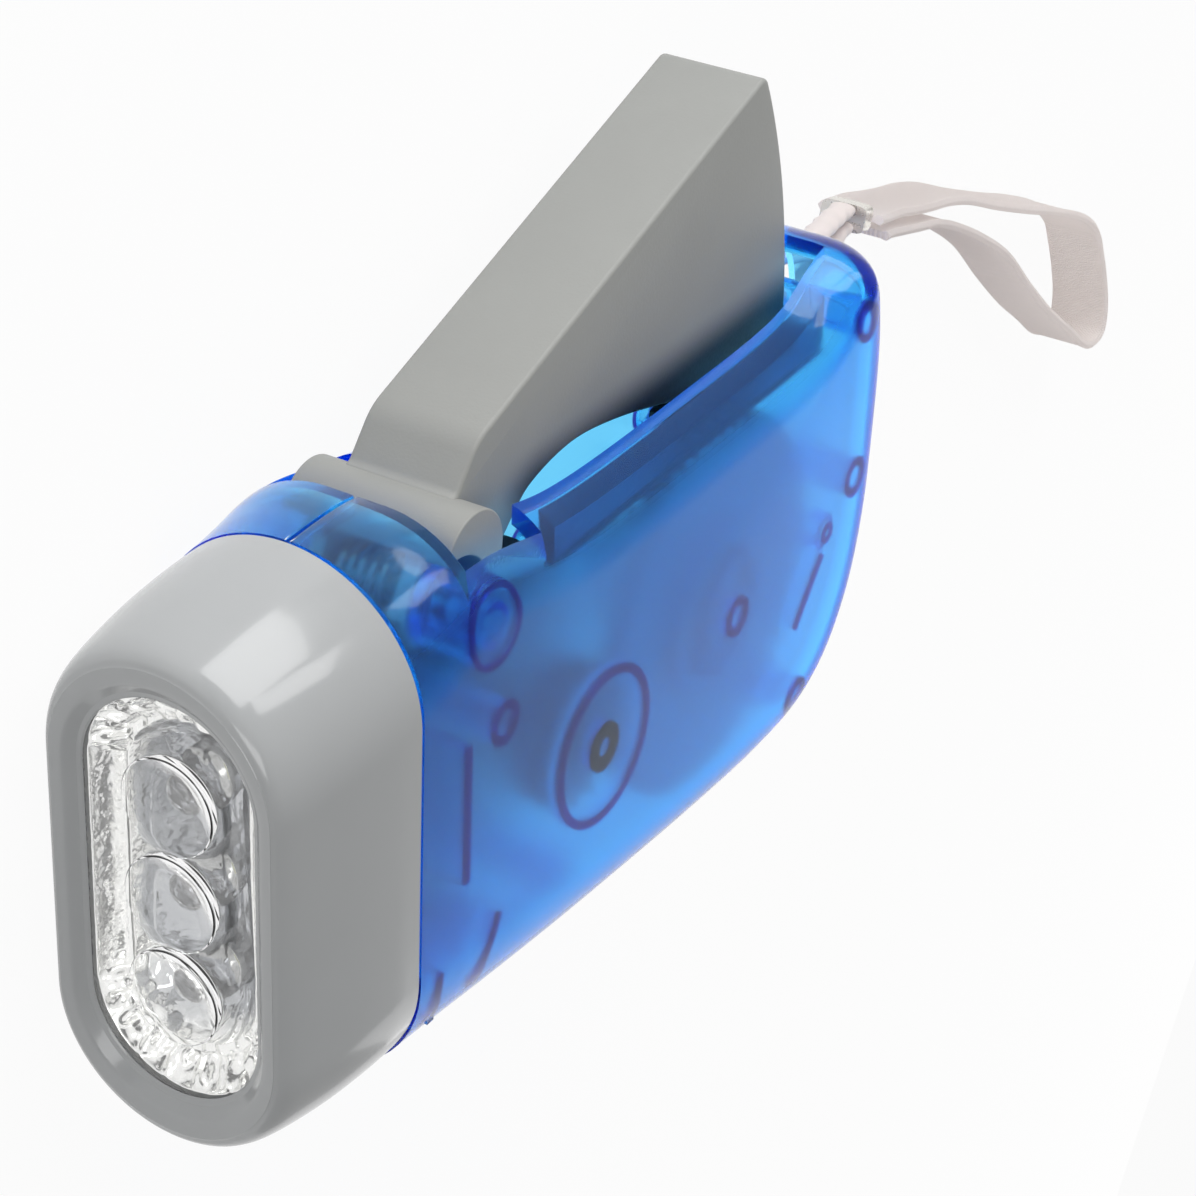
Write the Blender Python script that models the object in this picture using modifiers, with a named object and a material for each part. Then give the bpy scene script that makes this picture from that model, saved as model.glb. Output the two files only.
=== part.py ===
"""Squeeze dynamo torch: a translucent case in two halves, a hinged lever with a rack, a gear
train, a flywheel generator and three lamps behind a lensed window, with a wrist strap.

The torch lies on its lower side face. A place in it is given as along (from the front face
towards the tail), lift (from the mid line towards the lever) and across (from the parting
plane towards the upper side). world() turns the three into x, y and z.
"""
import math

import bmesh
import bpy
from mathutils import Matrix, Vector

COLLECTION_NAME = "squeeze_dynamo_torch"

# Clearances and overruns
SEAT_GAP = 0.0003          # between pieces that touch
PARTING_GAP = 0.0002       # between the two case halves
RUNNING_GAP = 0.00006      # radial, a wheel on its shaft
PIN_GAP = 0.00005          # radial, a pin in its boss
PANE_SEAT_GAP = 0.00015    # window to reflector, over the seat gap
SLIDE_GAP = 0.0004         # beside a piece that slides
SWING_GAP = 0.0024         # beside the lever in its slot
EMBED = 0.0006             # how deep a boss or rib starts inside the wall
OVERRUN = 0.002            # how far a cutter runs past what it cuts

# Case
CASE_WALL = 0.0018
HEAD_LENGTH = 0.0178       # how much of the length is bezel
TAIL_HUMP_LENGTH = 0.0079  # case behind the lever's slot
BELLY_CLEARANCE = 0.0007   # drive gear's tips to the belly wall
# outline of the case from the bezel round the tail: along, lift and edge radius, as shares of
# the length behind the bezel, CASE_HALF_HEIGHT and CASE_HALF_WIDTH
CASE_OUTLINE_SHARES = (
    (0.0512, 1.004, 0.93), (0.1007, 0.996, 0.80), (0.1525, 0.962, 0.70), (0.2055, 0.908, 0.62),
    (0.2622, 0.850, 0.57), (0.3249, 0.810, 0.54), (0.4213, 0.790, 0.53), (0.5901, 0.786, 0.53),
    (0.7468, 0.792, 0.53), (0.8192, 0.826, 0.53), (0.8674, 0.905, 0.53), (0.9156, 0.948, 0.52),
    (0.9566, 0.900, 0.50), (0.9855, 0.760, 0.48), (0.9988, 0.540, 0.47), (1.0000, 0.200, 0.47),
    (0.9928, -0.210, 0.48), (0.9650, -0.550, 0.49), (0.9096, -0.820, 0.50), (0.8312, -0.975, 0.52),
    (0.7227, -1.024, 0.53), (0.5660, -1.020, 0.55), (0.3972, -1.004, 0.60), (0.2526, -1.000, 0.70),
    (0.1200, -1.002, 0.85))
OUTLINE_STEPS = 3          # stretches between two outline points
EDGE_STEPS = 5             # stretches round the edge radius
END_RADIUS_SHARE = 0.985   # edge radius at the head, of CASE_HALF_WIDTH
INSET_SHARE = 0.70         # most inset of the edge round, of the outline's own bend radius

# Neck ring of the case, which the bezel slides over
SPIGOT_WALL = 0.0012
SPIGOT_LENGTH = 0.0047
SPIGOT_ROOT = 0.0016       # how far it runs back inside the case wall

# Bezel
BEZEL_WALL = 0.0018
LIP_SIDE_INSET = 0.0031    # bezel's side to the middle line of the front lip
LIP_END_INSET = 0.0043     # bezel's top to the middle line of the front lip
LIP_ROUND = 0.0022         # how far back the lip's outer round runs
LIP_SIDE_WIDTH = 0.00195   # middle line of the lip to the window
LIP_END_WIDTH = 0.0025
WINDOW_RECESS = 0.0013
# bezel's flank from back to front: along as a share of HEAD_LENGTH, inset as a share of the lip's
FLANK_SHARES = ((1, 0), (0.78, 0.02), (0.52, 0.10), (0.30, 0.23))
# outer round of the lip: along as a share of LIP_ROUND, inset as a share of the lip's
LIP_ROUND_SHARES = ((1, 0.37), (0.40, 0.53), (0.10, 0.72), (0, 1))
# inner round of the lip: along as a share of WINDOW_RECESS, inset as a share of the way in
LIP_IN_SHARES = ((0.08, 0.55), (0.30, 0.85))
POCKET_END_SHARE = 0.5     # where the pocket's wall meets the bezel's own, of HEAD_LENGTH

# Window with its lenses, reflector, lamps, board
PANE_OVERLAP = 0.0011      # how far the pane reaches behind the bezel's opening
PANE_THICKNESS = 0.0012
LENS_RADIUS = 0.0046
LENS_RISE = 0.0003         # height of the lens's flat face over the pane
LENS_DEPTH = 0.0003        # its rim behind the pane
LENS_CROWN = 0.0006        # its dome behind the rim
LAMP_PITCH = 0.0095
REFLECTOR_WALL = 0.0009
REFLECTOR_PAN_DEPTH = 0.0030
CUP_RADIUS = 0.0045
CUP_DEPTH = 0.0030
CUP_CUT_SHARE = 1.2        # how far a cup's cutter runs, of the cup's depth
NECK_WALL = 0.0007
LAMP_RADIUS = 0.0025
LAMP_HEIGHT = 0.0086
LAMP_FLANGE_RADIUS = 0.0029
LAMP_FLANGE = 0.0010
LAMP_GAP = 0.00015
BOARD_FRONT = 0.0125       # along, front face of the lamp board
BOARD_THICKNESS = 0.0012
BOARD_EDGE_GAP = 0.0003
CELL_RADIUS = 0.0062
CELL_LENGTH = 0.0114
CELL_LIFT = -0.0006
RECTIFIER_SIZE = (0.0022, 0.0050, 0.0046)
RECTIFIER_LIFT = 0.0115

# Lever and its hinge
HINGE_FROM_HEAD = 0.0124
HINGE_DROP = 0.0101        # hinge below the top of the neck
LEVER_WIDTH = 0.0112
LEVER_WALL = 0.0016
LEVER_WEB = 0.0018         # thickness of the outer face
LEVER_OPEN_DEGREES = 20
LEVER_END_GAP = 0.0028     # lever's end wall to the end of the slot
KNEE_FROM_HINGE = (0.0077, 0.0123)
LEVER_CORNER_DEGREES = 27.2
LEVER_SKIRT = 0.0026       # how far below the hinge its end wall reaches when open
LEVER_CORNER_ROUND = 0.0012
CROSSBAR_RADIUS = 0.0045
CROSSBAR_FROM_HINGE = 0.0048
CROSSBAR_DEGREES = 54      # where it stands about the hinge with the lever open
CROSSBAR_LENGTH = 0.0170
NOTCH_GAP = 0.0009         # crossbar to its notch in the case
NOTCH_END_GAP = 0.0025     # crossbar's end to the notch's end
CROSSBAR_ROUND = 0.0007
NECK_FROM_HINGE = (0.0044, 0.0084)
HOLLOW_FROM_HINGE = (0.0054, 0.0062)  # corner of the lever's hollow beside the crossbar
EYE_RADIUS = 0.0044
PIN_RADIUS = 0.00125
PIN_BOSS_RADIUS = 0.0047
PIN_SEAT = 0.0025          # how deep the pin sits in each boss
HOLLOW_CORNER_DEGREES = 3.2  # inside corner of the lever, below its outer corner
HOLLOW_FOOT_DEGREES = -30
HOLLOW_EYE_SHARES = (0.9, 2)  # hollow's corners by the eyes, of their clearance
# lower edge of the lever's side plates, open: along from the hinge to the lever's end, and
# lift from the hinge, as shares of the lever's reach
PLATE_EDGE_SHARES = (
    (0.808, -0.020), (0.628, 0.028), (0.514, 0.058), (0.405, 0.078), (0.332, 0.078),
    (0.265, 0.064), (0.231, 0.046), (0.188, 0.008), (0.112, -0.048))

# Return spring
SPRING_RADIUS = 0.0030
SPRING_WIRE_RADIUS = 0.0003
SPRING_HALF_WIDTH = 0.0026
SPRING_TURNS = 5
SPRING_LEG_ALONG = 0.0170  # hinge to the end of the leg under the lever
SPRING_POST_FROM_HINGE = (0.0017, -0.0103)
SPRING_LEG_PAST_POST = 0.0010

# Gears
MODULE = 0.0008
PRESSURE_DEGREES = 20
ADDENDUM_SHARE = 0.90
DEDENDUM_SHARE = 1.15
RACK_ADDENDUM_SHARE = 0.65
BACKLASH = 0.00010
RACK_TEETH = 132           # of a full ring round the hinge
PINION_TEETH = 11
DRIVE_TEETH = 46
FLYWHEEL_PINION_TEETH = 16
RACK_BACK = 0.0107         # rack's pitch line to the lever's outer end
RACK_WIDTH = 0.0050
RACK_TOP_DEGREES = -1.5
RACK_FOOT_DEGREES = -18.5  # outer corner of the rack's foot
RACK_FOOT_PITCH_SHARE = 0.63
PINION_DROP_SHARE = 0.249  # pinion below the mid line, of the drive gear's pitch radius
TRAIN_DEGREES = 183.4      # pinion to flywheel
PINION_LENGTH = 0.0060
DRIVE_SIDE_GAP = 0.0007    # lever's side to the drive gear
DRIVE_THICKNESS = 0.0023
DRIVE_HUB_RADIUS = 0.0022
RATCHET_RING_RADIUS = 0.0085
RATCHET_RING_WALL = 0.0010
RATCHET_RING_HEIGHT = 0.0016
RATCHET_TEETH = 12
RATCHET_TOOTH = 0.0009
RATCHET_TIP_SHARE = 0.2    # where a tooth's tip lies, of its pitch
PAWL_THICKNESS = 0.0012
PAWL_ARM_WIDTH = 0.0010
AXLE_RADIUS = 0.0007
AXLE_SEAT = 0.0009         # how deep an axle sits in the case
AXLE_BOSS_RADIUS = 0.00195
SHOULDER_RADIUS = 0.0029   # pinion's shoulder under the drive gear
AXLE_BOSS_LENGTH = 0.0012  # upper boss, from the wall to the ratchet ring

# Generator
SHAFT_RADIUS = 0.00075
FLYWHEEL_SHARE = 0.621     # flywheel's radius, of the distance between the two shafts
FLYWHEEL_RIM = 0.0013
FLYWHEEL_WEB = 0.0012
FLYWHEEL_WALL_GAP = 0.0019 # lower wall to the flywheel's open face
FLYWHEEL_HOLE_SHARE = 0.40 # radius of a web hole, of the web's clear width
FLYWHEEL_HUB_RADIUS = 0.0025
HUB_END_RADIUS = 0.0020
FLYWHEEL_BOSS_LENGTH = 0.0013
FLYWHEEL_PINION_LENGTH = 0.0030
MAGNET_WALL = 0.0016
MAGNET_GAP = 0.0009        # radial, magnet to claws
CLAW_THICKNESS = 0.0007
CLAW_ARM_WIDTH = 0.0050
CLAW_HUB_RADIUS = 0.0047
CLAW_LENGTH = 0.0036
CLAW_TIP_SHARE = 0.84      # width of a claw, of its arm
CLAWS = 4
CLAW_TURN_DEGREES = 4
BOBBIN_CLAW_GAP = 0.0013   # radial, claws to the bobbin's rim
BOBBIN_CORE_RADIUS = 0.0045
BOBBIN_FLANGE = 0.0005
STATOR_POST_RADIUS = 0.0021
STATOR_LIFT_OFF = 0.0010   # lower wall to the first claw plate
STATOR_AIR_GAP = 0.00035   # upper claw plate to the flywheel's web
COIL_RIM_GAP = 0.0004      # radial, winding to the bobbin's rim
WHEEL_RING_RADIUS = 0.0080
WHEEL_RING_WALL = 0.0008
WHEEL_RING_HEIGHT = 0.0010

# Posts and ribs
POST_RADIUS = 0.0019
PEG_RADIUS = 0.0010
PEG_LENGTH = 0.0030
TAIL_POST_INSET = 0.0066   # tail to the middle post
BELLY_POST_INSETS = (0.0159, 0.0050)
STRAP_POST_INSET = 0.0064
STRAP_POST_LIFT = 0.0172
STRAP_POST_RADIUS = 0.0021
RIB_THICKNESS = 0.0010
RIB_HEIGHT = 0.0020
TAIL_RIB_INSETS = (0.0126, 0.0178)
TAIL_RIB_DROPS = (0.0035, 0.0124)
CELL_RIB_GAP = 0.0003      # cells to their rib
CELL_RIB_LIFTS = (-0.0076, 0.0063)
CELL_RIB_REACH = 0.0030    # across, where the tall rib ends
SWITCH_RIB_FROM_HEAD = (0.0139, 0.0109)
SWITCH_RIB_RISES = (0.0122, 0.0058)
STRAP_SLOT_LIFTS = (0.0120, 0.0207)
STRAP_SLOT_WIDTH = 0.0034

# Switch
RECESS_FROM_HEAD = (0.0084, 0.0328)
RECESS_WIDTH = 0.0088
RECESS_DEPTH = 0.0026
PAN_WALL = 0.0017
BUTTON_LENGTH = 0.0170
BUTTON_PROUD = 0.0004
BUTTON_TRAVEL = 0.0045
BUTTON_ROUND = 0.0006
STEM_LENGTH = 0.0020
STEM_WIDTH = 0.0024
STEM_FROM_END = 0.0010
FOOT_HEIGHT = 0.0009
FOOT_WIDTH = 0.0042
SWITCH_FROM_HEAD = (0.0054, 0.0182)
SWITCH_HEIGHT = 0.0056
SWITCH_HALF_WIDTH = 0.0026
GRIP_RIDGES = 5
GRIP_RIDGE = 0.0007

# Leads from the coil to the board, side by side under the flywheel
LEAD_RADIUS = 0.00035
LEAD_PITCH = 0.0011
LEAD_START_INSET = 0.0042  # flywheel's centre to the leads' start
LEAD_DROP = 0.00455        # flywheel's centre to the line between the leads
# shares of the way from the board's back to the start, and of INNER_SIDE
LEAD_SHARES = (
    (1.0, 0.885), (0.941, 0.906), (0.853, 0.932), (0.743, 0.944), (0.615, 0.944), (0.487, 0.940),
    (0.348, 0.915), (0.223, 0.846), (0.121, 0.752), (0.059, 0.701), (0.015, 0.684))

# Wrist strap: cord round the post, crimp, and webbing that stands on its edge
CORD_RADIUS = 0.0009
WEBBING_WIDTH = 0.0080
WEBBING_THICKNESS = 0.0011
CRIMP_WALL = 0.0006
CRIMP_CORE = 0.00165       # half the thickness of what the crimp grips
CORD_POINTS = (
    (0.1264, 0.0143, -0.0046), (0.1225, 0.0151, -0.0037), (0.1180, 0.0161, -0.0025),
    (0.1135, 0.0171, -0.0013), (0.1090, 0.0180, -0.0004), (0.1045, 0.0188, 0.0),
    (0.1010, 0.0194, 0.0), (0.0985, 0.0202, 0.0), (0.0966, 0.0200, 0.0), (0.0953, 0.0188, 0.0),
    (0.0949, 0.0172, 0.0), (0.0952, 0.0156, 0.0), (0.0963, 0.01445, 0.0), (0.0980, 0.0140, 0.0),
    (0.1010, 0.0138, 0.0), (0.1045, 0.0137, 0.0), (0.1090, 0.0137, -0.0004),
    (0.1135, 0.0137, -0.0013), (0.1180, 0.0134, -0.0025), (0.1225, 0.0129, -0.0037),
    (0.1262, 0.0124, -0.0046))
CRIMP_POINTS = ((0.1266, 0.0134, -0.0047), (0.1300, 0.0123, -0.0054))
WEBBING_POINTS = (
    (0.1304, 0.0122, -0.0055), (0.1352, 0.0107, -0.0064),
    (0.1400, 0.0091, -0.0074), (0.1460, 0.0069, -0.0084),
    (0.1520, 0.0049, -0.0092), (0.1580, 0.0033, -0.0095), (0.1640, 0.0012, -0.0095),
    (0.1720, -0.0024, -0.0095), (0.1820, -0.0066, -0.0095), (0.1920, -0.0106, -0.0095),
    (0.2010, -0.0148, -0.0095), (0.2060, -0.0186, -0.0095), (0.2086, -0.0228, -0.0095),
    (0.2108, -0.0272, -0.0095), (0.2124, -0.0316, -0.0095), (0.2124, -0.0352, -0.0095),
    (0.2098, -0.0362, -0.0095), (0.2058, -0.0346, -0.0095), (0.2000, -0.0302, -0.0095),
    (0.1930, -0.0250, -0.0095), (0.1850, -0.0182, -0.0095), (0.1768, -0.0108, -0.0095),
    (0.1680, -0.0050, -0.0095), (0.1600, -0.0006, -0.0095), (0.1540, 0.0021, -0.0092),
    (0.1478, 0.0042, -0.0084), (0.1412, 0.0065, -0.0074),
    (0.1360, 0.0084, -0.0064), (0.1308, 0.0099, -0.0055))

# Facets
MERGE_DISTANCE = 0.0000003
ROUND_SIDES = 32
SMALL_SIDES = 16
OBROUND_SIDES = 12         # stretches round one end of an obround

# Sizes worked out from the sizes above
RACK_RADIUS = MODULE * RACK_TEETH / 2
PINION_RADIUS = MODULE * PINION_TEETH / 2
DRIVE_RADIUS = MODULE * DRIVE_TEETH / 2
FLYWHEEL_PINION_RADIUS = MODULE * FLYWHEEL_PINION_TEETH / 2
SHAFT_DISTANCE = DRIVE_RADIUS + FLYWHEEL_PINION_RADIUS
LEVER_REACH = RACK_RADIUS + RACK_BACK
PINION_DROP = DRIVE_RADIUS * PINION_DROP_SHARE
DRIVE_FACE = LEVER_WIDTH / 2 + DRIVE_SIDE_GAP
DRIVE_TOP = DRIVE_FACE + DRIVE_THICKNESS + RATCHET_RING_HEIGHT
INNER_SIDE = DRIVE_TOP + SEAT_GAP + AXLE_BOSS_LENGTH
HINGE_ALONG = HEAD_LENGTH + HINGE_FROM_HEAD
CASE_LENGTH = HINGE_ALONG + LEVER_REACH + LEVER_END_GAP + TAIL_HUMP_LENGTH
CASE_HALF_WIDTH = INNER_SIDE + CASE_WALL
CASE_HALF_HEIGHT = PINION_DROP + DRIVE_RADIUS + ADDENDUM_SHARE * MODULE + BELLY_CLEARANCE + CASE_WALL
BEZEL_HALF_WIDTH = CASE_HALF_WIDTH
BEZEL_HALF_HEIGHT = CASE_HALF_HEIGHT
LIP_HALF_WIDTH = BEZEL_HALF_WIDTH - LIP_SIDE_INSET
LIP_HALF_HEIGHT = BEZEL_HALF_HEIGHT - LIP_END_INSET
WINDOW_HALF_WIDTH = LIP_HALF_WIDTH - LIP_SIDE_WIDTH
WINDOW_HALF_HEIGHT = LIP_HALF_HEIGHT - LIP_END_WIDTH
HINGE_LIFT = CASE_HALF_HEIGHT - HINGE_DROP
HINGE = (HINGE_ALONG, HINGE_LIFT)
MESH_DEGREES = -math.degrees(math.asin((HINGE_LIFT + PINION_DROP) / (RACK_RADIUS - PINION_RADIUS)))
SLOT_HALF_WIDTH = LEVER_WIDTH / 2 + SWING_GAP
SPRING_POST = (HINGE_ALONG + SPRING_POST_FROM_HINGE[0], HINGE_LIFT + SPRING_POST_FROM_HINGE[1])
TAIL_POST = (CASE_LENGTH - TAIL_POST_INSET, 0)
BELLY_POST = (CASE_LENGTH - BELLY_POST_INSETS[0], BELLY_POST_INSETS[1] - CASE_HALF_HEIGHT)
STRAP_POST = (CASE_LENGTH - STRAP_POST_INSET, STRAP_POST_LIFT)
TAIL_RIB = tuple((CASE_LENGTH - inset, -drop) for inset, drop in zip(TAIL_RIB_INSETS, TAIL_RIB_DROPS))
SWITCH_RIB = tuple((HEAD_LENGTH + along, rise - CASE_HALF_HEIGHT)
                   for along, rise in zip(SWITCH_RIB_FROM_HEAD, SWITCH_RIB_RISES))
RECESS_ALONGS = tuple(HEAD_LENGTH + along for along in RECESS_FROM_HEAD)
SWITCH_ALONGS = tuple(HEAD_LENGTH + along for along in SWITCH_FROM_HEAD)
BOARD_BACK = BOARD_FRONT + BOARD_THICKNESS
CELL_RIB_ALONG = BOARD_BACK + SEAT_GAP + CELL_LENGTH + CELL_RIB_GAP + RIB_THICKNESS / 2
FLYWHEEL_RADIUS = SHAFT_DISTANCE * FLYWHEEL_SHARE
FLYWHEEL_LOW = FLYWHEEL_WALL_GAP - INNER_SIDE
FLYWHEEL_HIGH = -PINION_LENGTH / 2
FLYWHEEL_HUB_TOP = INNER_SIDE - FLYWHEEL_BOSS_LENGTH
FLYWHEEL_INSIDE = FLYWHEEL_RADIUS - FLYWHEEL_RIM
MAGNET_LENGTH = FLYWHEEL_HIGH - FLYWHEEL_WEB - FLYWHEEL_LOW - 2 * SEAT_GAP
CLAW_RADIUS = FLYWHEEL_INSIDE - MAGNET_WALL - MAGNET_GAP
BOBBIN_RADIUS = CLAW_RADIUS - CLAW_THICKNESS - BOBBIN_CLAW_GAP
COIL_RADIUS = BOBBIN_RADIUS - COIL_RIM_GAP
STATOR_FOOT = STATOR_LIFT_OFF + SEAT_GAP / 2 - INNER_SIDE
STATOR_FACE = FLYWHEEL_HIGH - FLYWHEEL_WEB - STATOR_AIR_GAP
BOBBIN_LOW = STATOR_FOOT + CLAW_THICKNESS + SEAT_GAP / 2
BOBBIN_LENGTH = STATOR_FACE - CLAW_THICKNESS - SEAT_GAP / 2 - BOBBIN_LOW
# lift, where the switch stem ends, measured down from the mid line
STEM_REACH = CASE_HALF_HEIGHT - RECESS_DEPTH - PAN_WALL - FOOT_HEIGHT - SEAT_GAP


def polar(centre, radius, degrees):
    """Return the (along, lift) place at a radius and direction from a centre."""
    angle = math.radians(degrees)
    return centre[0] + radius * math.cos(angle), centre[1] + radius * math.sin(angle)


PINION_CENTRE = polar(HINGE, RACK_RADIUS - PINION_RADIUS, MESH_DEGREES)
FLYWHEEL_CENTRE = polar(PINION_CENTRE, SHAFT_DISTANCE, TRAIN_DEGREES)


def world(along, lift, across):
    """Turn a place in the torch into x, y, z."""
    return Vector((-lift, along - CASE_LENGTH / 2, across + CASE_HALF_WIDTH))


def clear_scene():
    for thing in list(bpy.data.objects):
        bpy.data.objects.remove(thing, do_unlink=True)


def new_collection(name):
    collection = bpy.data.collections.new(name)
    bpy.context.scene.collection.children.link(collection)
    return collection


clear_scene()
PARTS = new_collection(COLLECTION_NAME)
TOOLS = new_collection("cutters")


def material(name, colour, roughness, metallic=0.0, transmission=0.0):
    """Make a Principled material."""
    finish = bpy.data.materials.new(name)
    finish.use_nodes = True
    shader = finish.node_tree.nodes["Principled BSDF"]
    shader.inputs["Base Color"].default_value = (*colour, 1.0)
    shader.inputs["Roughness"].default_value = roughness
    shader.inputs["Metallic"].default_value = metallic
    shader.inputs["Transmission Weight"].default_value = transmission
    finish.diffuse_color = (*colour, 1.0)
    return finish


BLUE = (0.03, 0.14, 0.78)
GREY = (0.36, 0.37, 0.37)
NYLON = (0.78, 0.80, 0.80)
STEEL = (0.55, 0.55, 0.56)
BLACK = (0.03, 0.03, 0.035)


def add_object(name, mesh, collection=TOOLS):
    thing = bpy.data.objects.new(name, mesh)
    collection.objects.link(thing)
    if collection == TOOLS:
        thing.hide_render = True
        thing.display_type = "WIRE"
    return thing


def from_bmesh(name, shape):
    """Turn a bmesh in world places into an object, with its faces outwards."""
    bmesh.ops.recalc_face_normals(shape, faces=shape.faces)
    mesh = bpy.data.meshes.new(name)
    shape.to_mesh(mesh)
    shape.free()
    return add_object(name, mesh)


def from_curve(name, curve, place=Matrix()):
    """Turn a curve into a closed mesh object and remove the curve."""
    guide = bpy.data.objects.new(name, curve)
    guide.matrix_world = place
    TOOLS.objects.link(guide)
    graph = bpy.context.evaluated_depsgraph_get()
    mesh = bpy.data.meshes.new_from_object(guide.evaluated_get(graph))
    mesh.transform(guide.matrix_world)
    bpy.data.objects.remove(guide, do_unlink=True)
    shape = bmesh.new()
    shape.from_mesh(mesh)
    bpy.data.meshes.remove(mesh)
    bmesh.ops.remove_doubles(shape, verts=shape.verts, dist=MERGE_DISTANCE)
    return from_bmesh(name, shape)


def plate(name, loops, low, high):
    """Extrude closed outlines, given as (along, lift) points, from across low to high."""
    curve = bpy.data.curves.new(name, "CURVE")
    curve.dimensions = "2D"
    curve.fill_mode = "BOTH"
    curve.extrude = (high - low) / 2
    for loop in loops:
        spline = curve.splines.new("POLY")
        spline.points.add(len(loop) - 1)
        for point, (along, lift) in zip(spline.points, loop):
            spot = world(along, lift, 0)
            point.co = (spot.x, spot.y, 0, 1)
        spline.use_cyclic_u = True
    height = world(0, 0, (low + high) / 2).z
    return from_curve(name, curve, Matrix.Translation((0, 0, height)))


def block(name, alongs, lifts, acrosses):
    """A box between two values each way."""
    low = world(alongs[0], lifts[0], acrosses[0])
    high = world(alongs[1], lifts[1], acrosses[1])
    shape = bmesh.new()
    bmesh.ops.create_cube(shape, size=1.0)
    size = Vector(abs(high[i] - low[i]) for i in range(3))
    bmesh.ops.transform(shape, matrix=Matrix.Diagonal((*size, 1)), verts=shape.verts)
    bmesh.ops.translate(shape, vec=(low + high) / 2, verts=shape.verts)
    return from_bmesh(name, shape)


def post(name, centre, radius, low, high, sides=SMALL_SIDES):
    """A round post across the torch."""
    shape = bmesh.new()
    bmesh.ops.create_cone(shape, cap_ends=True, segments=sides, radius1=radius, radius2=radius,
                          depth=abs(high - low))
    bmesh.ops.translate(shape, vec=world(*centre, (low + high) / 2), verts=shape.verts)
    return from_bmesh(name, shape)


def turned(name, profile, centre, sides=ROUND_SIDES, lengthways=False):
    """Turn a profile of (radius, height) points round an axis across or along the torch.

    The profile starts and ends on the axis and runs from its top down.
    """
    shape = bmesh.new()
    spots = [shape.verts.new((radius, 0, height)) for radius, height in profile]
    for first, second in zip(spots, spots[1:]):
        shape.edges.new((first, second))
    mesh = bpy.data.meshes.new(name)
    shape.to_mesh(mesh)
    shape.free()
    thing = add_object(name, mesh)
    screw = thing.modifiers.new("turn", "SCREW")
    screw.steps = sides
    screw.render_steps = sides
    screw.use_merge_vertices = True
    screw.merge_threshold = MERGE_DISTANCE
    graph = bpy.context.evaluated_depsgraph_get()
    solid = bpy.data.meshes.new_from_object(thing.evaluated_get(graph))
    bpy.data.objects.remove(thing, do_unlink=True)
    shape = bmesh.new()
    shape.from_mesh(solid)
    bpy.data.meshes.remove(solid)
    bmesh.ops.remove_doubles(shape, verts=shape.verts, dist=MERGE_DISTANCE)
    if lengthways:
        turn = Matrix.Rotation(math.radians(-90), 4, "X")
        bmesh.ops.transform(shape, matrix=turn, verts=shape.verts)
    bmesh.ops.translate(shape, vec=centre, verts=shape.verts)
    return from_bmesh(name, shape)


def ring(name, centre, outer, inner, low, high, sides=ROUND_SIDES):
    """A flat-ended ring across the torch, turned from its section."""
    section = [(outer, high), (outer, low), (inner, low), (inner, high), (outer, high)]
    return turned(name, section, world(*centre, 0), sides)


def tube(name, points, radius, resolution, per_point=1):
    """A round wire through world points, with filled ends."""
    curve = bpy.data.curves.new(name, "CURVE")
    curve.dimensions = "3D"
    curve.bevel_depth = radius
    curve.bevel_resolution = resolution
    curve.use_fill_caps = True
    route = smooth_route(points, per_point)
    spline = curve.splines.new("POLY")
    spline.points.add(len(route) - 1)
    for point, spot in zip(spline.points, route):
        point.co = (*spot, 1)
    return from_curve(name, curve)


def smooth_route(points, per_point):
    """Read a Catmull-Rom curve through the points, per_point stretches between two."""
    if per_point == 1:
        return [Vector(point) for point in points]
    spots = [Vector(point) for point in points]
    spots = [2 * spots[0] - spots[1]] + spots + [2 * spots[-1] - spots[-2]]
    route = []
    for before, start, end, after in zip(spots, spots[1:], spots[2:], spots[3:]):
        for step in range(per_point):
            t = step / per_point
            route.append(0.5 * (2 * start + (end - before) * t
                                + (2 * before - 5 * start + 4 * end - after) * t ** 2
                                + (3 * start - before - 3 * end + after) * t ** 3))
    route.append(spots[-2])
    return route


def combine(thing, tools, operation):
    """Add one Boolean for each tool."""
    for tool in tools:
        step = thing.modifiers.new(tool.name, "BOOLEAN")
        step.operation = operation
        step.object = tool
        step.solver = "EXACT"


def settle(thing):
    """Work the modifiers into the mesh, so that the object can be a tool itself."""
    graph = bpy.context.evaluated_depsgraph_get()
    mesh = bpy.data.meshes.new_from_object(thing.evaluated_get(graph))
    thing.modifiers.clear()
    thing.data = mesh
    shape = bmesh.new()
    shape.from_mesh(mesh)
    bmesh.ops.remove_doubles(shape, verts=shape.verts, dist=MERGE_DISTANCE)
    shape.to_mesh(mesh)
    shape.free()
    return thing


def finish(thing, name, paint, origin=None):
    """Name a finished piece, give it its material and put its origin on its axis."""
    settle(thing)
    thing.name = name
    thing.data.name = name
    thing.data.materials.clear()
    thing.data.materials.append(paint)
    if origin is not None:
        thing.data.transform(Matrix.Translation(-origin))
        thing.location = origin
    thing.data.shade_smooth()
    thing.data.set_sharp_from_angle(angle=math.radians(32))
    TOOLS.objects.unlink(thing)
    PARTS.objects.link(thing)
    thing.hide_render = False
    thing.display_type = "TEXTURED"
    return thing


def loft(name, sections, closed_ends=True, cyclic=False):
    """Join closed sections, each a list of world points of equal count."""
    shape = bmesh.new()
    rows = [[shape.verts.new(point) for point in section] for section in sections]
    pairs = list(zip(rows, rows[1:]))
    if cyclic:
        pairs.append((rows[-1], rows[0]))
    for first, second in pairs:
        count = len(first)
        for i in range(count):
            j = (i + 1) % count
            shape.faces.new((first[i], first[j], second[j], second[i]))
    if closed_ends and not cyclic:
        shape.faces.new(rows[0])
        shape.faces.new(rows[-1])
    return from_bmesh(name, shape)


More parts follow.
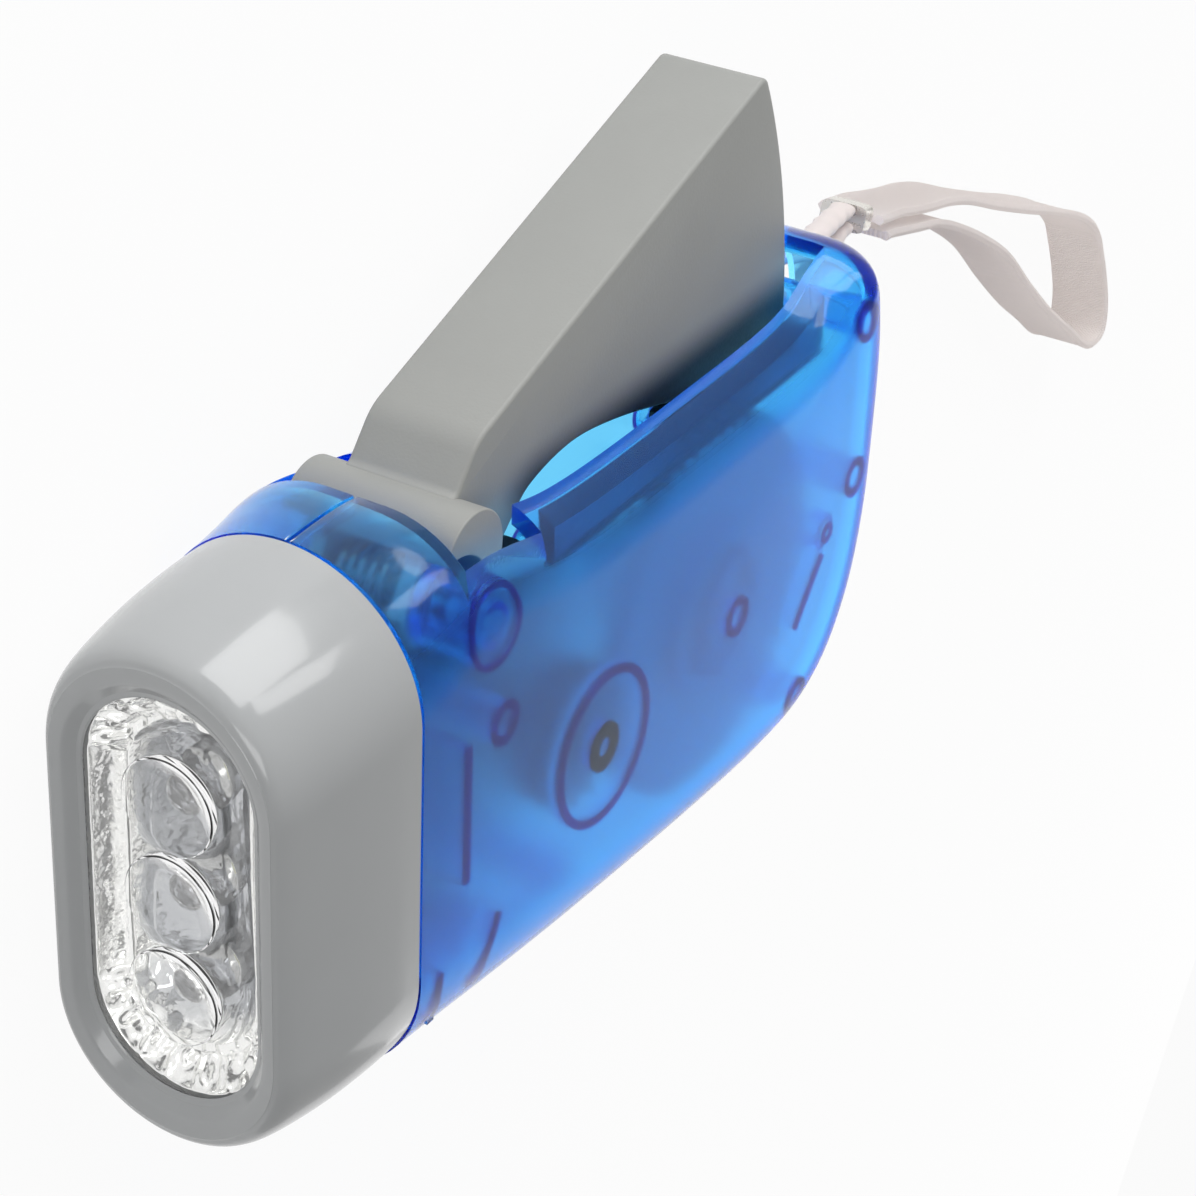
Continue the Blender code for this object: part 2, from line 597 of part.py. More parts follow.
def obround(along, half_width, half_height):
    """An upright obround section at a place along the torch, as world points."""
    straight = half_height - half_width
    points = []
    for side in (1, -1):
        for step in range(OBROUND_SIDES + 1):
            angle = math.pi * step / OBROUND_SIDES
            across = side * half_width * math.cos(angle)
            lift = side * (straight + half_width * math.sin(angle))
            points.append(world(along, lift, across))
    return points


def obround_ring(name, profile):
    """Carry a closed profile of (along, half width, half height) round an obround."""
    return loft(name, [obround(*row) for row in profile], cyclic=True)


def obround_block(name, front, back, half_width, half_height):
    return loft(name, [obround(front, half_width, half_height),
                       obround(back, half_width, half_height)])


def bend_radius(before, spot, after):
    """Radius of the circle through three points of an outline, or a very large one."""
    a, b, c = (Vector((p.x, p.y)) for p in (before, spot, after))
    area = abs((b - a).cross(c - a)) / 2
    if area < MERGE_DISTANCE ** 2:
        return CASE_LENGTH
    return (b - a).length * (c - b).length * (c - a).length / (4 * area)


def case_rail():
    """Sample the case outline: (along, lift, edge radius, most inset, outward normal) in a list."""
    start = (HEAD_LENGTH + PARTING_GAP, CASE_HALF_HEIGHT, CASE_HALF_WIDTH * END_RADIUS_SHARE)
    end = (start[0], -start[1], start[2])
    middle = [(HEAD_LENGTH + a * (CASE_LENGTH - HEAD_LENGTH), l * CASE_HALF_HEIGHT, r * CASE_HALF_WIDTH)
              for a, l, r in CASE_OUTLINE_SHARES]
    route = smooth_route([start, *middle, end], OUTLINE_STEPS)
    last = len(route) - 1
    bends = [bend_radius(route[max(i - 3, 0)], spot, route[min(i + 3, last)])
             for i, spot in enumerate(route)]
    rail = []
    for i, spot in enumerate(route):
        ahead = route[min(i + 1, last)] - route[max(i - 1, 0)]
        normal = Vector((-ahead.y, ahead.x, 0)).normalized()
        if i in (0, last):
            normal = Vector((0, math.copysign(1, spot.y), 0))
        nearby = [min(spot.z, bend * INSET_SHARE) for bend in bends[max(i - 3, 0):i + 4]]
        rail.append((spot.x, spot.y, spot.z, sum(nearby) / len(nearby), normal))
    return rail


def case_rows(inset, foot):
    """Rows of (along, lift, across) places on a skin set inwards, one row a rail point."""
    rows = []
    for along, lift, radius, most_inset, normal in case_rail():
        row = [(along - normal.x * inset, lift - normal.y * inset, foot)]
        for step in range(EDGE_STEPS + 1):
            angle = math.pi / 2 * step / EDGE_STEPS
            inwards = inset + (most_inset - inset) * (1 - math.cos(angle))
            across = CASE_HALF_WIDTH - radius + (radius - inset) * math.sin(angle)
            row.append((along - normal.x * inwards, lift - normal.y * inwards, across))
        rows.append(row)
    return rows


def case_shell(name, side):
    """One half of the case as a plain shell, open at the parting plane and at the head."""
    shape = bmesh.new()
    skins = [[[shape.verts.new(world(a, l, side * c)) for a, l, c in row]
              for row in case_rows(inset, PARTING_GAP / 2)] for inset in (0, CASE_WALL)]
    for rows in skins:
        for first, second in zip(rows, rows[1:]):
            for i in range(len(first) - 1):
                shape.faces.new((first[i], first[i + 1], second[i + 1], second[i]))
        shape.faces.new([row[-1] for row in rows])
    outer, inner = skins
    seams = [([row[0] for row in outer], [row[0] for row in inner]),
             (outer[0], inner[0]), (outer[-1], inner[-1]),
             ((outer[0][-1], outer[-1][-1]), (inner[0][-1], inner[-1][-1]))]
    for far, near in seams:
        for i in range(len(far) - 1):
            shape.faces.new((far[i], far[i + 1], near[i + 1], near[i]))
    return from_bmesh(name, shape)


def case_core(side):
    """A solid that ends midway in the wall, to trim the bosses and ribs to."""
    shape = bmesh.new()
    rows = [[shape.verts.new(world(a, l, side * c)) for a, l, c in row]
            for row in case_rows(CASE_WALL / 2, -OVERRUN)]
    for first, second in zip(rows, rows[1:]):
        for i in range(len(first) - 1):
            shape.faces.new((first[i], first[i + 1], second[i + 1], second[i]))
    shape.faces.new([row[-1] for row in rows])
    shape.faces.new([row[0] for row in rows])
    shape.faces.new([*rows[0], *reversed(rows[-1])])
    return from_bmesh(f"case_core_{side}", shape)


def crossbar_centre(closed_degrees=0):
    return polar(HINGE, CROSSBAR_FROM_HINGE, CROSSBAR_DEGREES - closed_degrees)


def arc(centre, radius, start, end, steps):
    """Points on an arc, angles in degrees."""
    return [polar(centre, radius, start + (end - start) * i / steps) for i in range(steps + 1)]


def crossbar_notch():
    """What the crossbar sweeps as the lever closes, with its clearance, open at the top."""
    radius = CROSSBAR_RADIUS + NOTCH_GAP
    front = crossbar_centre()
    back = crossbar_centre(LEVER_OPEN_DEGREES)
    heading = math.degrees(math.atan2(back[1] - front[1], back[0] - front[0]))
    top = CASE_HALF_HEIGHT + OVERRUN
    outline = [(front[0] - radius, top)] + arc(front, radius, 180, heading + 270, 6)
    outline += arc(back, radius, heading - 90, 0, 12) + [(back[0] + radius, top)]
    reach = CROSSBAR_LENGTH / 2 + NOTCH_END_GAP
    return plate("crossbar_notch", [outline], -reach, reach)


def lever_slot():
    front = crossbar_centre()[0]
    back = CASE_LENGTH - TAIL_HUMP_LENGTH
    foot = CASE_HALF_HEIGHT * 0.5
    return block("lever_slot", (front, back), (foot, CASE_HALF_HEIGHT + OVERRUN),
                 (-SLOT_HALF_WIDTH, SLOT_HALF_WIDTH))


def rib(name, ends, low, high):
    """A straight rib between two (along, lift) places."""
    start, end = Vector(ends[0]), Vector(ends[1])
    sideways = (end - start).normalized().orthogonal() * RIB_THICKNESS / 2
    outline = [start + sideways, end + sideways, end - sideways, start - sideways]
    return plate(name, [[tuple(p) for p in outline]], low, high)


def case_half(side):
    """One case half with its bosses, posts and ribs. side is 1 above and -1 below."""
    label = "upper" if side > 0 else "lower"
    wall_in = INNER_SIDE + EMBED

    def across(low, high):
        return sorted((side * low, side * high))

    def boss(name, centre, radius, end, sides=SMALL_SIDES):
        return post(f"{label}_{name}", centre, radius, *across(end, wall_in), sides)

    def bore(name, centre, radius, start, depth):
        return post(f"{label}_{name}_bore", centre, radius, *across(start - OVERRUN, start + depth))

    def wall_rib(name, ends, end):
        return rib(f"{label}_{name}", ends, *across(end, wall_in))

    half = case_shell(f"case_{label}", side)
    pan_foot = -CASE_HALF_HEIGHT + RECESS_DEPTH
    pan_half_width = RECESS_WIDTH / 2 + PAN_WALL
    pan = block(f"{label}_pan", (RECESS_ALONGS[0] - PAN_WALL, RECESS_ALONGS[1] + PAN_WALL),
                (-CASE_HALF_HEIGHT + CASE_WALL / 2, pan_foot + PAN_WALL),
                across(PARTING_GAP / 2, pan_half_width))
    spigot = case_spigot(label, side)
    combine(half, [pan, spigot], "UNION")
    recess = block(f"{label}_recess", RECESS_ALONGS,
                   (-CASE_HALF_HEIGHT - OVERRUN, pan_foot), (-RECESS_WIDTH / 2, RECESS_WIDTH / 2))
    stem_start = RECESS_ALONGS[0] + SLIDE_GAP + STEM_FROM_END
    stem_slot = block(f"{label}_stem_slot",
                      (stem_start - SLIDE_GAP, stem_start + STEM_LENGTH + BUTTON_TRAVEL + SLIDE_GAP),
                      (pan_foot - OVERRUN, pan_foot + PAN_WALL + OVERRUN),
                      (-STEM_WIDTH / 2 - SLIDE_GAP, STEM_WIDTH / 2 + SLIDE_GAP))
    strap_slot = block(f"{label}_strap_slot", (CASE_LENGTH - CASE_WALL - OVERRUN, CASE_LENGTH + OVERRUN),
                       STRAP_SLOT_LIFTS, (-STRAP_SLOT_WIDTH / 2, STRAP_SLOT_WIDTH / 2))
    combine(half, [crossbar_notch(), lever_slot(), recess, stem_slot, strap_slot], "DIFFERENCE")
    meet = PARTING_GAP / 2
    pin_seat = LEVER_WIDTH / 2 + SEAT_GAP
    bosses = [
        boss("hinge_boss", HINGE, PIN_BOSS_RADIUS, pin_seat, ROUND_SIDES),
        boss("spring_post", SPRING_POST, POST_RADIUS, meet),
        boss("tail_post", TAIL_POST, POST_RADIUS, meet),
        boss("belly_post", BELLY_POST, POST_RADIUS, meet),
        boss("strap_post", STRAP_POST, STRAP_POST_RADIUS, meet),
        wall_rib("tail_rib", TAIL_RIB, INNER_SIDE - RIB_HEIGHT),
        wall_rib("cell_rib", tuple((CELL_RIB_ALONG, lift) for lift in CELL_RIB_LIFTS), CELL_RIB_REACH),
        boss("tail_rib_head", TAIL_RIB[0], POST_RADIUS, INNER_SIDE - RIB_HEIGHT)]
    cuts = [bore("hinge", HINGE, PIN_RADIUS + PIN_GAP, pin_seat, PIN_SEAT)]
    if side > 0:
        drive_top = DRIVE_TOP + SEAT_GAP
        wheel_top = FLYWHEEL_HUB_TOP + SEAT_GAP
        ring_foot = INNER_SIDE - WHEEL_RING_HEIGHT
        bosses += [
            boss("axle_boss", PINION_CENTRE, AXLE_BOSS_RADIUS, drive_top),
            boss("wheel_boss", FLYWHEEL_CENTRE, FLYWHEEL_HUB_RADIUS, wheel_top),
            ring("upper_wheel_ring", FLYWHEEL_CENTRE, WHEEL_RING_RADIUS,
                 WHEEL_RING_RADIUS - WHEEL_RING_WALL, ring_foot, wall_in),
            wall_rib("switch_rib", SWITCH_RIB, INNER_SIDE - RIB_HEIGHT),
            wall_rib("switch_stop", ((SWITCH_ALONGS[1] + RIB_THICKNESS, -STEM_REACH),
                                     (SWITCH_ALONGS[1] + RIB_THICKNESS, -STEM_REACH + SWITCH_HEIGHT)),
                     SWITCH_HALF_WIDTH - SEAT_GAP)]
        cuts += [bore("axle", PINION_CENTRE, AXLE_RADIUS + PIN_GAP, drive_top, AXLE_SEAT),
                 bore("wheel", FLYWHEEL_CENTRE, SHAFT_RADIUS + PIN_GAP, wheel_top, AXLE_SEAT)]
    else:
        stator_foot = INNER_SIDE - STATOR_LIFT_OFF
        axle_top = PINION_LENGTH / 2 + SEAT_GAP
        bosses += [
            boss("axle_boss", PINION_CENTRE, AXLE_BOSS_RADIUS, axle_top),
            boss("stator_seat", FLYWHEEL_CENTRE, CLAW_HUB_RADIUS - SEAT_GAP, stator_foot),
            boss("stator_post", FLYWHEEL_CENTRE, STATOR_POST_RADIUS, -STATOR_FACE)]
        cuts += [bore("axle", PINION_CENTRE, AXLE_RADIUS + PIN_GAP, axle_top,
                      INNER_SIDE - axle_top - AXLE_SEAT / 2),
                 bore("wheel", FLYWHEEL_CENTRE, SHAFT_RADIUS + PIN_GAP, -STATOR_FACE,
                      INNER_SIDE - -STATOR_FACE)]
    bosses.append(wall_rib("switch_end", ((SWITCH_ALONGS[0] - RIB_THICKNESS, -STEM_REACH),
                                          (SWITCH_ALONGS[0] - RIB_THICKNESS, -STEM_REACH + SWITCH_HEIGHT)),
                           SWITCH_HALF_WIDTH - SEAT_GAP))
    core = case_core(side)
    for thing in bosses:
        combine(thing, [core], "INTERSECT")
        settle(thing)
    combine(half, bosses, "UNION")
    combine(half, cuts, "DIFFERENCE")
    pegs = [(TAIL_POST, "tail"), (BELLY_POST, "belly"), (SPRING_POST, "spring")]
    for centre, name in pegs:
        if side > 0:
            peg = post(f"{name}_peg", centre, PEG_RADIUS, -PEG_LENGTH, EMBED + meet)
            combine(half, [peg], "UNION")
        else:
            hole = post(f"{name}_peg_hole", centre, PEG_RADIUS + PIN_GAP,
                        -PEG_LENGTH - SEAT_GAP, OVERRUN)
            combine(half, [hole], "DIFFERENCE")
    return half


def case_spigot(label, side):
    """Half of the neck ring that the bezel slides over, rooted in the case wall."""
    front = HEAD_LENGTH - SPIGOT_LENGTH
    back = HEAD_LENGTH + SPIGOT_ROOT
    half_width = BEZEL_HALF_WIDTH - BEZEL_WALL - SEAT_GAP
    half_height = BEZEL_HALF_HEIGHT - BEZEL_WALL - SEAT_GAP
    root = HEAD_LENGTH + PARTING_GAP + SEAT_GAP
    profile = [(front, half_width, half_height), (root, half_width, half_height),
               (root, half_width + EMBED, half_height + EMBED),
               (back, half_width + EMBED, half_height + EMBED),
               (back, half_width - SPIGOT_WALL, half_height - SPIGOT_WALL),
               (front, half_width - SPIGOT_WALL, half_height - SPIGOT_WALL)]
    collar = obround_ring(f"{label}_spigot", profile)
    keep = block(f"{label}_spigot_half", (0, CASE_LENGTH), (-CASE_HALF_HEIGHT, CASE_HALF_HEIGHT),
                 sorted((side * PARTING_GAP / 2, side * CASE_HALF_WIDTH)))
    combine(collar, [keep], "INTERSECT")
    return settle(collar)


def bezel():
    """Grey front ring, carried round an obround: outer side, lip, tunnel, ledge, pocket."""
    window = (WINDOW_HALF_WIDTH, WINDOW_HALF_HEIGHT)
    pocket = (WINDOW_HALF_WIDTH + PANE_OVERLAP + SEAT_GAP, WINDOW_HALF_HEIGHT + PANE_OVERLAP + SEAT_GAP)
    inner = (BEZEL_HALF_WIDTH - BEZEL_WALL, BEZEL_HALF_HEIGHT - BEZEL_WALL)
    pane_back = WINDOW_RECESS + PANE_THICKNESS + SEAT_GAP

    def outside(along, inset_share):
        """A ring on the flank, its inset as a share of the lip's."""
        return (along, BEZEL_HALF_WIDTH - (BEZEL_HALF_WIDTH - LIP_HALF_WIDTH) * inset_share,
                BEZEL_HALF_HEIGHT - (BEZEL_HALF_HEIGHT - LIP_HALF_HEIGHT) * inset_share)

    profile = [outside(HEAD_LENGTH * share, inset_share) for share, inset_share in FLANK_SHARES]
    profile += [outside(LIP_ROUND * share, inset_share) for share, inset_share in LIP_ROUND_SHARES]
    lip_in = (LIP_HALF_WIDTH - window[0], LIP_HALF_HEIGHT - window[1])
    for along_share, in_share in LIP_IN_SHARES:
        profile.append((WINDOW_RECESS * along_share, LIP_HALF_WIDTH - lip_in[0] * in_share,
                        LIP_HALF_HEIGHT - lip_in[1] * in_share))
    profile += [(WINDOW_RECESS, *window), (WINDOW_RECESS, *pocket), (pane_back, *pocket),
                (HEAD_LENGTH * POCKET_END_SHARE, *inner), (HEAD_LENGTH, *inner)]
    return obround_ring("bezel", profile)


def pane():
    """Clear window with three lenses through it, flat in front and domed behind."""
    front = WINDOW_RECESS + SEAT_GAP / 2
    back = front + PANE_THICKNESS
    sheet = obround_block("pane", front, back, WINDOW_HALF_WIDTH + PANE_OVERLAP,
                          WINDOW_HALF_HEIGHT + PANE_OVERLAP)
    rim = back + LENS_DEPTH
    dome_steps = 4
    sphere = (LENS_RADIUS ** 2 + LENS_CROWN ** 2) / (2 * LENS_CROWN)
    profile = [(0, front - LENS_RISE), (LENS_RADIUS, front - LENS_RISE), (LENS_RADIUS, rim)]
    for step in range(1, dome_steps + 1):
        radius = LENS_RADIUS * (1 - step / dome_steps)
        profile.append((radius, rim + LENS_CROWN - sphere + math.sqrt(sphere ** 2 - radius ** 2)))
    for row in (-1, 0, 1):
        lens = turned(f"lens_{row}", profile, world(0, row * LAMP_PITCH, 0), ROUND_SIDES, True)
        combine(sheet, [lens], "UNION")
    return sheet


def reflector():
    """Metallised pan with a cup and a neck round each lamp."""
    front = WINDOW_RECESS + PANE_THICKNESS + SEAT_GAP + PANE_SEAT_GAP
    floor = front + REFLECTOR_PAN_DEPTH
    half = (WINDOW_HALF_WIDTH + PANE_OVERLAP, WINDOW_HALF_HEIGHT + PANE_OVERLAP)
    pan = obround_block("reflector", front, floor + REFLECTOR_WALL, *half)
    hollow = obround_block("pan_hollow", front - OVERRUN, floor, half[0] - REFLECTOR_WALL,
                           half[1] - REFLECTOR_WALL)
    combine(pan, [hollow], "DIFFERENCE")
    cup_end = floor + CUP_DEPTH
    bore = LAMP_RADIUS + LAMP_GAP
    flange = LAMP_FLANGE_RADIUS + LAMP_GAP
    neck = flange + NECK_WALL
    board = BOARD_FRONT - SEAT_GAP
    flange_front = BOARD_FRONT - LAMP_FLANGE - SEAT_GAP * 2
    for row in (-1, 0, 1):
        centre = world(0, row * LAMP_PITCH, 0)
        outer = [(0, board), (neck, board), (neck, cup_end), (CUP_RADIUS, floor + REFLECTOR_WALL / 2),
                 (0, floor + REFLECTOR_WALL / 2)]
        mouth = bore + (CUP_RADIUS - NECK_WALL - bore) * CUP_CUT_SHARE
        past = cup_end - CUP_DEPTH * CUP_CUT_SHARE
        inner = [(0, board + OVERRUN), (flange, board + OVERRUN), (flange, flange_front),
                 (bore, flange_front), (bore, cup_end), (mouth, past), (0, past)]
        combine(pan, [turned(f"cup_{row}", outer, centre, ROUND_SIDES, True)], "UNION")
        combine(pan, [turned(f"cup_hollow_{row}", inner, centre, ROUND_SIDES, True)], "DIFFERENCE")
    return pan


def lamp(row):
    """One five millimetre lamp: dome, body and flange, its flange on the board."""
    back = BOARD_FRONT - SEAT_GAP / 2
    dome = back - LAMP_HEIGHT + LAMP_RADIUS
    profile = [(0, back), (LAMP_FLANGE_RADIUS, back), (LAMP_FLANGE_RADIUS, back - LAMP_FLANGE),
               (LAMP_RADIUS, back - LAMP_FLANGE), (LAMP_RADIUS, dome)]
    for step in range(1, 5):
        angle = math.pi / 2 * step / 4
        profile.append((LAMP_RADIUS * math.cos(angle) if step < 4 else 0,
                        dome - LAMP_RADIUS * math.sin(angle)))
    return turned(f"lamp_{row}", profile, world(0, row * LAMP_PITCH, 0), SMALL_SIDES, True)


def lamp_board():
    half_width = BEZEL_HALF_WIDTH - BEZEL_WALL - SEAT_GAP - SPIGOT_WALL - BOARD_EDGE_GAP
    half_height = BEZEL_HALF_HEIGHT - BEZEL_WALL - SEAT_GAP - SPIGOT_WALL - BOARD_EDGE_GAP
    return obround_block("board", BOARD_FRONT, BOARD_FRONT + BOARD_THICKNESS, half_width, half_height)


def cell_stack():
    """Button cells in their sleeve, on the board's back."""
    front = BOARD_BACK + SEAT_GAP
    back = front + CELL_LENGTH
    profile = [(0, back), (CELL_RADIUS, back), (CELL_RADIUS, front), (0, front)]
    return turned("cell", profile, world(0, CELL_LIFT, 0), ROUND_SIDES, True)


def rectifier():
    front = BOARD_BACK + SEAT_GAP
    depth, width, height = RECTIFIER_SIZE
    return block("rectifier", (front, front + depth),
                 (RECTIFIER_LIFT - height / 2, RECTIFIER_LIFT + height / 2), (-width / 2, width / 2))


def involute(angle):
    return math.tan(angle) - angle


def tooth_half_angle(pitch_radius, radius, slack):
    """Half the angle of an involute tooth at a radius, for a wheel of this pitch radius."""
    pressure = math.radians(PRESSURE_DEGREES)
    base = pitch_radius * math.cos(pressure)
    half = math.pi * MODULE / (4 * pitch_radius) - slack / (2 * pitch_radius)
    return half + involute(pressure) - involute(math.acos(min(1, base / max(radius, base))))


def gear_outline(centre, teeth, tooth_degrees):
    """Outline of a wheel with one tooth centred on the given direction."""
    pitch_radius = MODULE * teeth / 2
    radii = (pitch_radius - DEDENDUM_SHARE * MODULE, pitch_radius,
             pitch_radius + ADDENDUM_SHARE * MODULE)
    outline = []
    for tooth in range(teeth):
        middle = tooth_degrees + 360 * tooth / teeth
        flank = [(r, math.degrees(tooth_half_angle(pitch_radius, r, BACKLASH))) for r in radii]
        outline += [polar(centre, r, middle - half) for r, half in flank]
        outline += [polar(centre, r, middle + half) for r, half in reversed(flank)]
    return outline


def circle(centre, radius, sides):
    return [polar(centre, radius, 360 * i / sides) for i in range(sides)]


def rack_outline():
    """The lever's tongue: a sector round the hinge with teeth on its inner edge."""
    pitch_degrees = math.degrees(math.pi * MODULE / RACK_RADIUS)
    radii = (RACK_RADIUS - RACK_ADDENDUM_SHARE * MODULE, RACK_RADIUS,
             RACK_RADIUS + DEDENDUM_SHARE * MODULE)
    flank = [(r, math.degrees(tooth_half_angle(RACK_RADIUS, r, -BACKLASH))) for r in radii]
    outline = [polar(HINGE, radii[0], MESH_DEGREES - RACK_FOOT_PITCH_SHARE * pitch_degrees)]
    spaces = int((RACK_TOP_DEGREES - MESH_DEGREES) / pitch_degrees)
    for space in range(spaces + 1):
        middle = MESH_DEGREES + space * pitch_degrees
        outline += [polar(HINGE, r, middle - half) for r, half in flank]
        outline += [polar(HINGE, r, middle + half) for r, half in reversed(flank)]
    inner_top = polar(HINGE, radii[0], LEVER_CORNER_DEGREES)[0]
    outline += arc(HINGE, radii[0], RACK_TOP_DEGREES + pitch_degrees, LEVER_CORNER_DEGREES / 2, 4)
    outline.append((inner_top, lever_top(inner_top) - LEVER_WEB / 2))
    corner = polar(HINGE, LEVER_REACH, LEVER_CORNER_DEGREES)[0] - LEVER_WALL / 2
    outline.append((corner, lever_top(corner) - LEVER_WEB / 2))
    outer = LEVER_REACH - LEVER_WALL / 2
    outline += arc(HINGE, outer, LEVER_CORNER_DEGREES - 4, RACK_FOOT_DEGREES, 10)
    return outline


def lever_top(along):
    """Lift of the lever's outer face, a straight line from knee to corner."""
    knee = (HINGE_ALONG + KNEE_FROM_HINGE[0], HINGE_LIFT + KNEE_FROM_HINGE[1])
    corner = polar(HINGE, LEVER_REACH, LEVER_CORNER_DEGREES)
    slope = (corner[1] - knee[1]) / (corner[0] - knee[0])
    return knee[1] + slope * (along - knee[0])


def lever_outline():
    """Side view of the open lever: crossbar, neck, knee, outer face, end wall, plate edge, eye."""
    bar = crossbar_centre()
    knee = (HINGE_ALONG + KNEE_FROM_HINGE[0], HINGE_LIFT + KNEE_FROM_HINGE[1])
    corner = polar(HINGE, LEVER_REACH, LEVER_CORNER_DEGREES)
    along_face = (Vector(corner) - Vector(knee)).normalized() * LEVER_CORNER_ROUND
    skirt_degrees = -math.degrees(math.asin(LEVER_SKIRT / LEVER_REACH))
    corner_degrees = LEVER_CORNER_DEGREES - math.degrees(LEVER_CORNER_ROUND / LEVER_REACH)
    outline = arc(bar, CROSSBAR_RADIUS - EMBED, 180, 80, 9)
    outline.append((HINGE_ALONG + NECK_FROM_HINGE[0], HINGE_LIFT + NECK_FROM_HINGE[1]))
    outline.append(knee)
    outline.append(tuple(Vector(corner) - along_face))
    outline += arc(HINGE, LEVER_REACH, corner_degrees, skirt_degrees, 12)
    outline += [(HINGE_ALONG + a * LEVER_REACH, HINGE_LIFT + l * LEVER_REACH) for a, l in PLATE_EDGE_SHARES]
    outline += arc(HINGE, EYE_RADIUS, -50, -180, 8)
    return outline


def lever():
    """Squeeze lever: a channel of two plates, outer face and end wall, with crossbar and rack."""
    half = LEVER_WIDTH / 2
    inside = half - LEVER_WALL
    body = plate("lever", [lever_outline()], -half, half)
    inner_reach = LEVER_REACH - LEVER_WALL
    clear = EYE_RADIUS + SLIDE_GAP
    start = HINGE_ALONG + KNEE_FROM_HINGE[0] + LEVER_WALL
    end = polar(HINGE, inner_reach, LEVER_CORNER_DEGREES - 2)[0]
    hollow = [(start, lever_top(start) - LEVER_WEB), (end, lever_top(end) - LEVER_WEB)]
    hollow += arc(HINGE, inner_reach, LEVER_CORNER_DEGREES - HOLLOW_CORNER_DEGREES,
                  HOLLOW_FOOT_DEGREES, 12)
    hollow += [(HINGE_ALONG, HINGE_LIFT - clear * HOLLOW_EYE_SHARES[1]),
               (HINGE_ALONG + clear * HOLLOW_EYE_SHARES[0], HINGE_LIFT),
               (HINGE_ALONG + HOLLOW_FROM_HINGE[0], HINGE_LIFT + HOLLOW_FROM_HINGE[1])]
    rack = plate("rack", [rack_outline()], -RACK_WIDTH / 2, RACK_WIDTH / 2)
    combine(body, [crossbar()], "UNION")
    combine(body, [plate("lever_hollow", [hollow], -inside, inside),
                   post("eye_hollow", HINGE, clear + SLIDE_GAP, -inside, inside, ROUND_SIDES)],
            "DIFFERENCE")
    combine(body, [rack], "UNION")
    combine(body, [post("lever_bore", HINGE, PIN_RADIUS + RUNNING_GAP, -half - OVERRUN, half + OVERRUN)],
            "DIFFERENCE")
    return body


def crossbar():
    """Round bar over the hinge, hollowed on the side where it clears the hinge bosses."""
    clear = PIN_BOSS_RADIUS + SLIDE_GAP
    gap = CROSSBAR_FROM_HINGE
    rise = (gap ** 2 + clear ** 2 - CROSSBAR_RADIUS ** 2) / (2 * gap)
    low = math.degrees(math.acos(rise / clear))
    high = math.degrees(math.asin((gap - rise) / CROSSBAR_RADIUS))
    start = CROSSBAR_DEGREES - 90 - high
    outline = arc(HINGE, clear, CROSSBAR_DEGREES + low, CROSSBAR_DEGREES - low, 8)
    outline += arc(crossbar_centre(), CROSSBAR_RADIUS, start, start + 180 + high * 2, 20)[1:-1]
    bar = plate("crossbar", [outline], -CROSSBAR_LENGTH / 2, CROSSBAR_LENGTH / 2)
    edge = bar.modifiers.new("round", "BEVEL")
    edge.width = CROSSBAR_ROUND
    edge.segments = 2
    edge.limit_method = "ANGLE"
    edge.angle_limit = math.radians(60)
    return settle(bar)


def hinge_pin():
    reach = LEVER_WIDTH / 2 + PIN_SEAT
    return post("pin", HINGE, PIN_RADIUS, -reach, reach)


def return_spring():
    """Torsion spring round the hinge pin: one leg on its post, one under the lever's face."""
    post_leg = (SPRING_POST[0] + POST_RADIUS + SPRING_WIRE_RADIUS + SEAT_GAP,
                SPRING_POST[1] - SPRING_LEG_PAST_POST)
    leg_along = HINGE_ALONG + SPRING_LEG_ALONG
    lever_leg = (leg_along, lever_top(leg_along) - LEVER_WEB - SPRING_WIRE_RADIUS - SEAT_GAP * 2)

    def touch(point, sign):
        offset = Vector(point) - Vector(HINGE)
        return math.degrees(math.atan2(offset.y, offset.x)
                            + sign * math.acos(SPRING_RADIUS / offset.length))

    first = touch(post_leg, 1)
    last = touch(lever_leg, -1) + 360 * SPRING_TURNS
    steps = SPRING_TURNS * 10
    points = [world(*post_leg, -SPRING_HALF_WIDTH)]
    for step in range(steps + 1):
        share = step / steps
        spot = polar(HINGE, SPRING_RADIUS, first + (last - first) * share)
        points.append(world(*spot, SPRING_HALF_WIDTH * (2 * share - 1)))
    points.append(world(*lever_leg, SPRING_HALF_WIDTH))
    pitch = 2 * SPRING_HALF_WIDTH / ((last - first) / 360)
    print(f"return spring: least gap between turns {pitch - 2 * SPRING_WIRE_RADIUS:.5f} m")
    return tube("spring", points, SPRING_WIRE_RADIUS, 1)


def drive_pinion():
    """Pinion that the rack turns, with the long hub that carries the drive gear."""
    half = PINION_LENGTH / 2
    toothed = plate("pinion", [gear_outline(PINION_CENTRE, PINION_TEETH, MESH_DEGREES)], -half, half)
    top = DRIVE_TOP
    hub = post("pinion_hub", PINION_CENTRE, DRIVE_HUB_RADIUS, half - EMBED, top, ROUND_SIDES)
    shoulder = post("pinion_shoulder", PINION_CENTRE, SHOULDER_RADIUS, half - EMBED,
                    DRIVE_FACE - SEAT_GAP)
    bore = post("pinion_bore", PINION_CENTRE, AXLE_RADIUS + RUNNING_GAP, -half - OVERRUN, top + OVERRUN)
    combine(toothed, [shoulder, hub], "UNION")
    combine(toothed, [bore], "DIFFERENCE")
    return toothed


def ratchet_outline():
    """Inner edge of the ratchet ring: saw teeth that point inwards."""
    inner = RATCHET_RING_RADIUS - RATCHET_RING_WALL
    outline = []
    for tooth in range(RATCHET_TEETH):
        start = 360 * tooth / RATCHET_TEETH
        outline.append(polar(PINION_CENTRE, inner, start))
        tip = start + RATCHET_TIP_SHARE * 360 / RATCHET_TEETH
        outline.append(polar(PINION_CENTRE, inner - RATCHET_TOOTH, tip))
    return outline


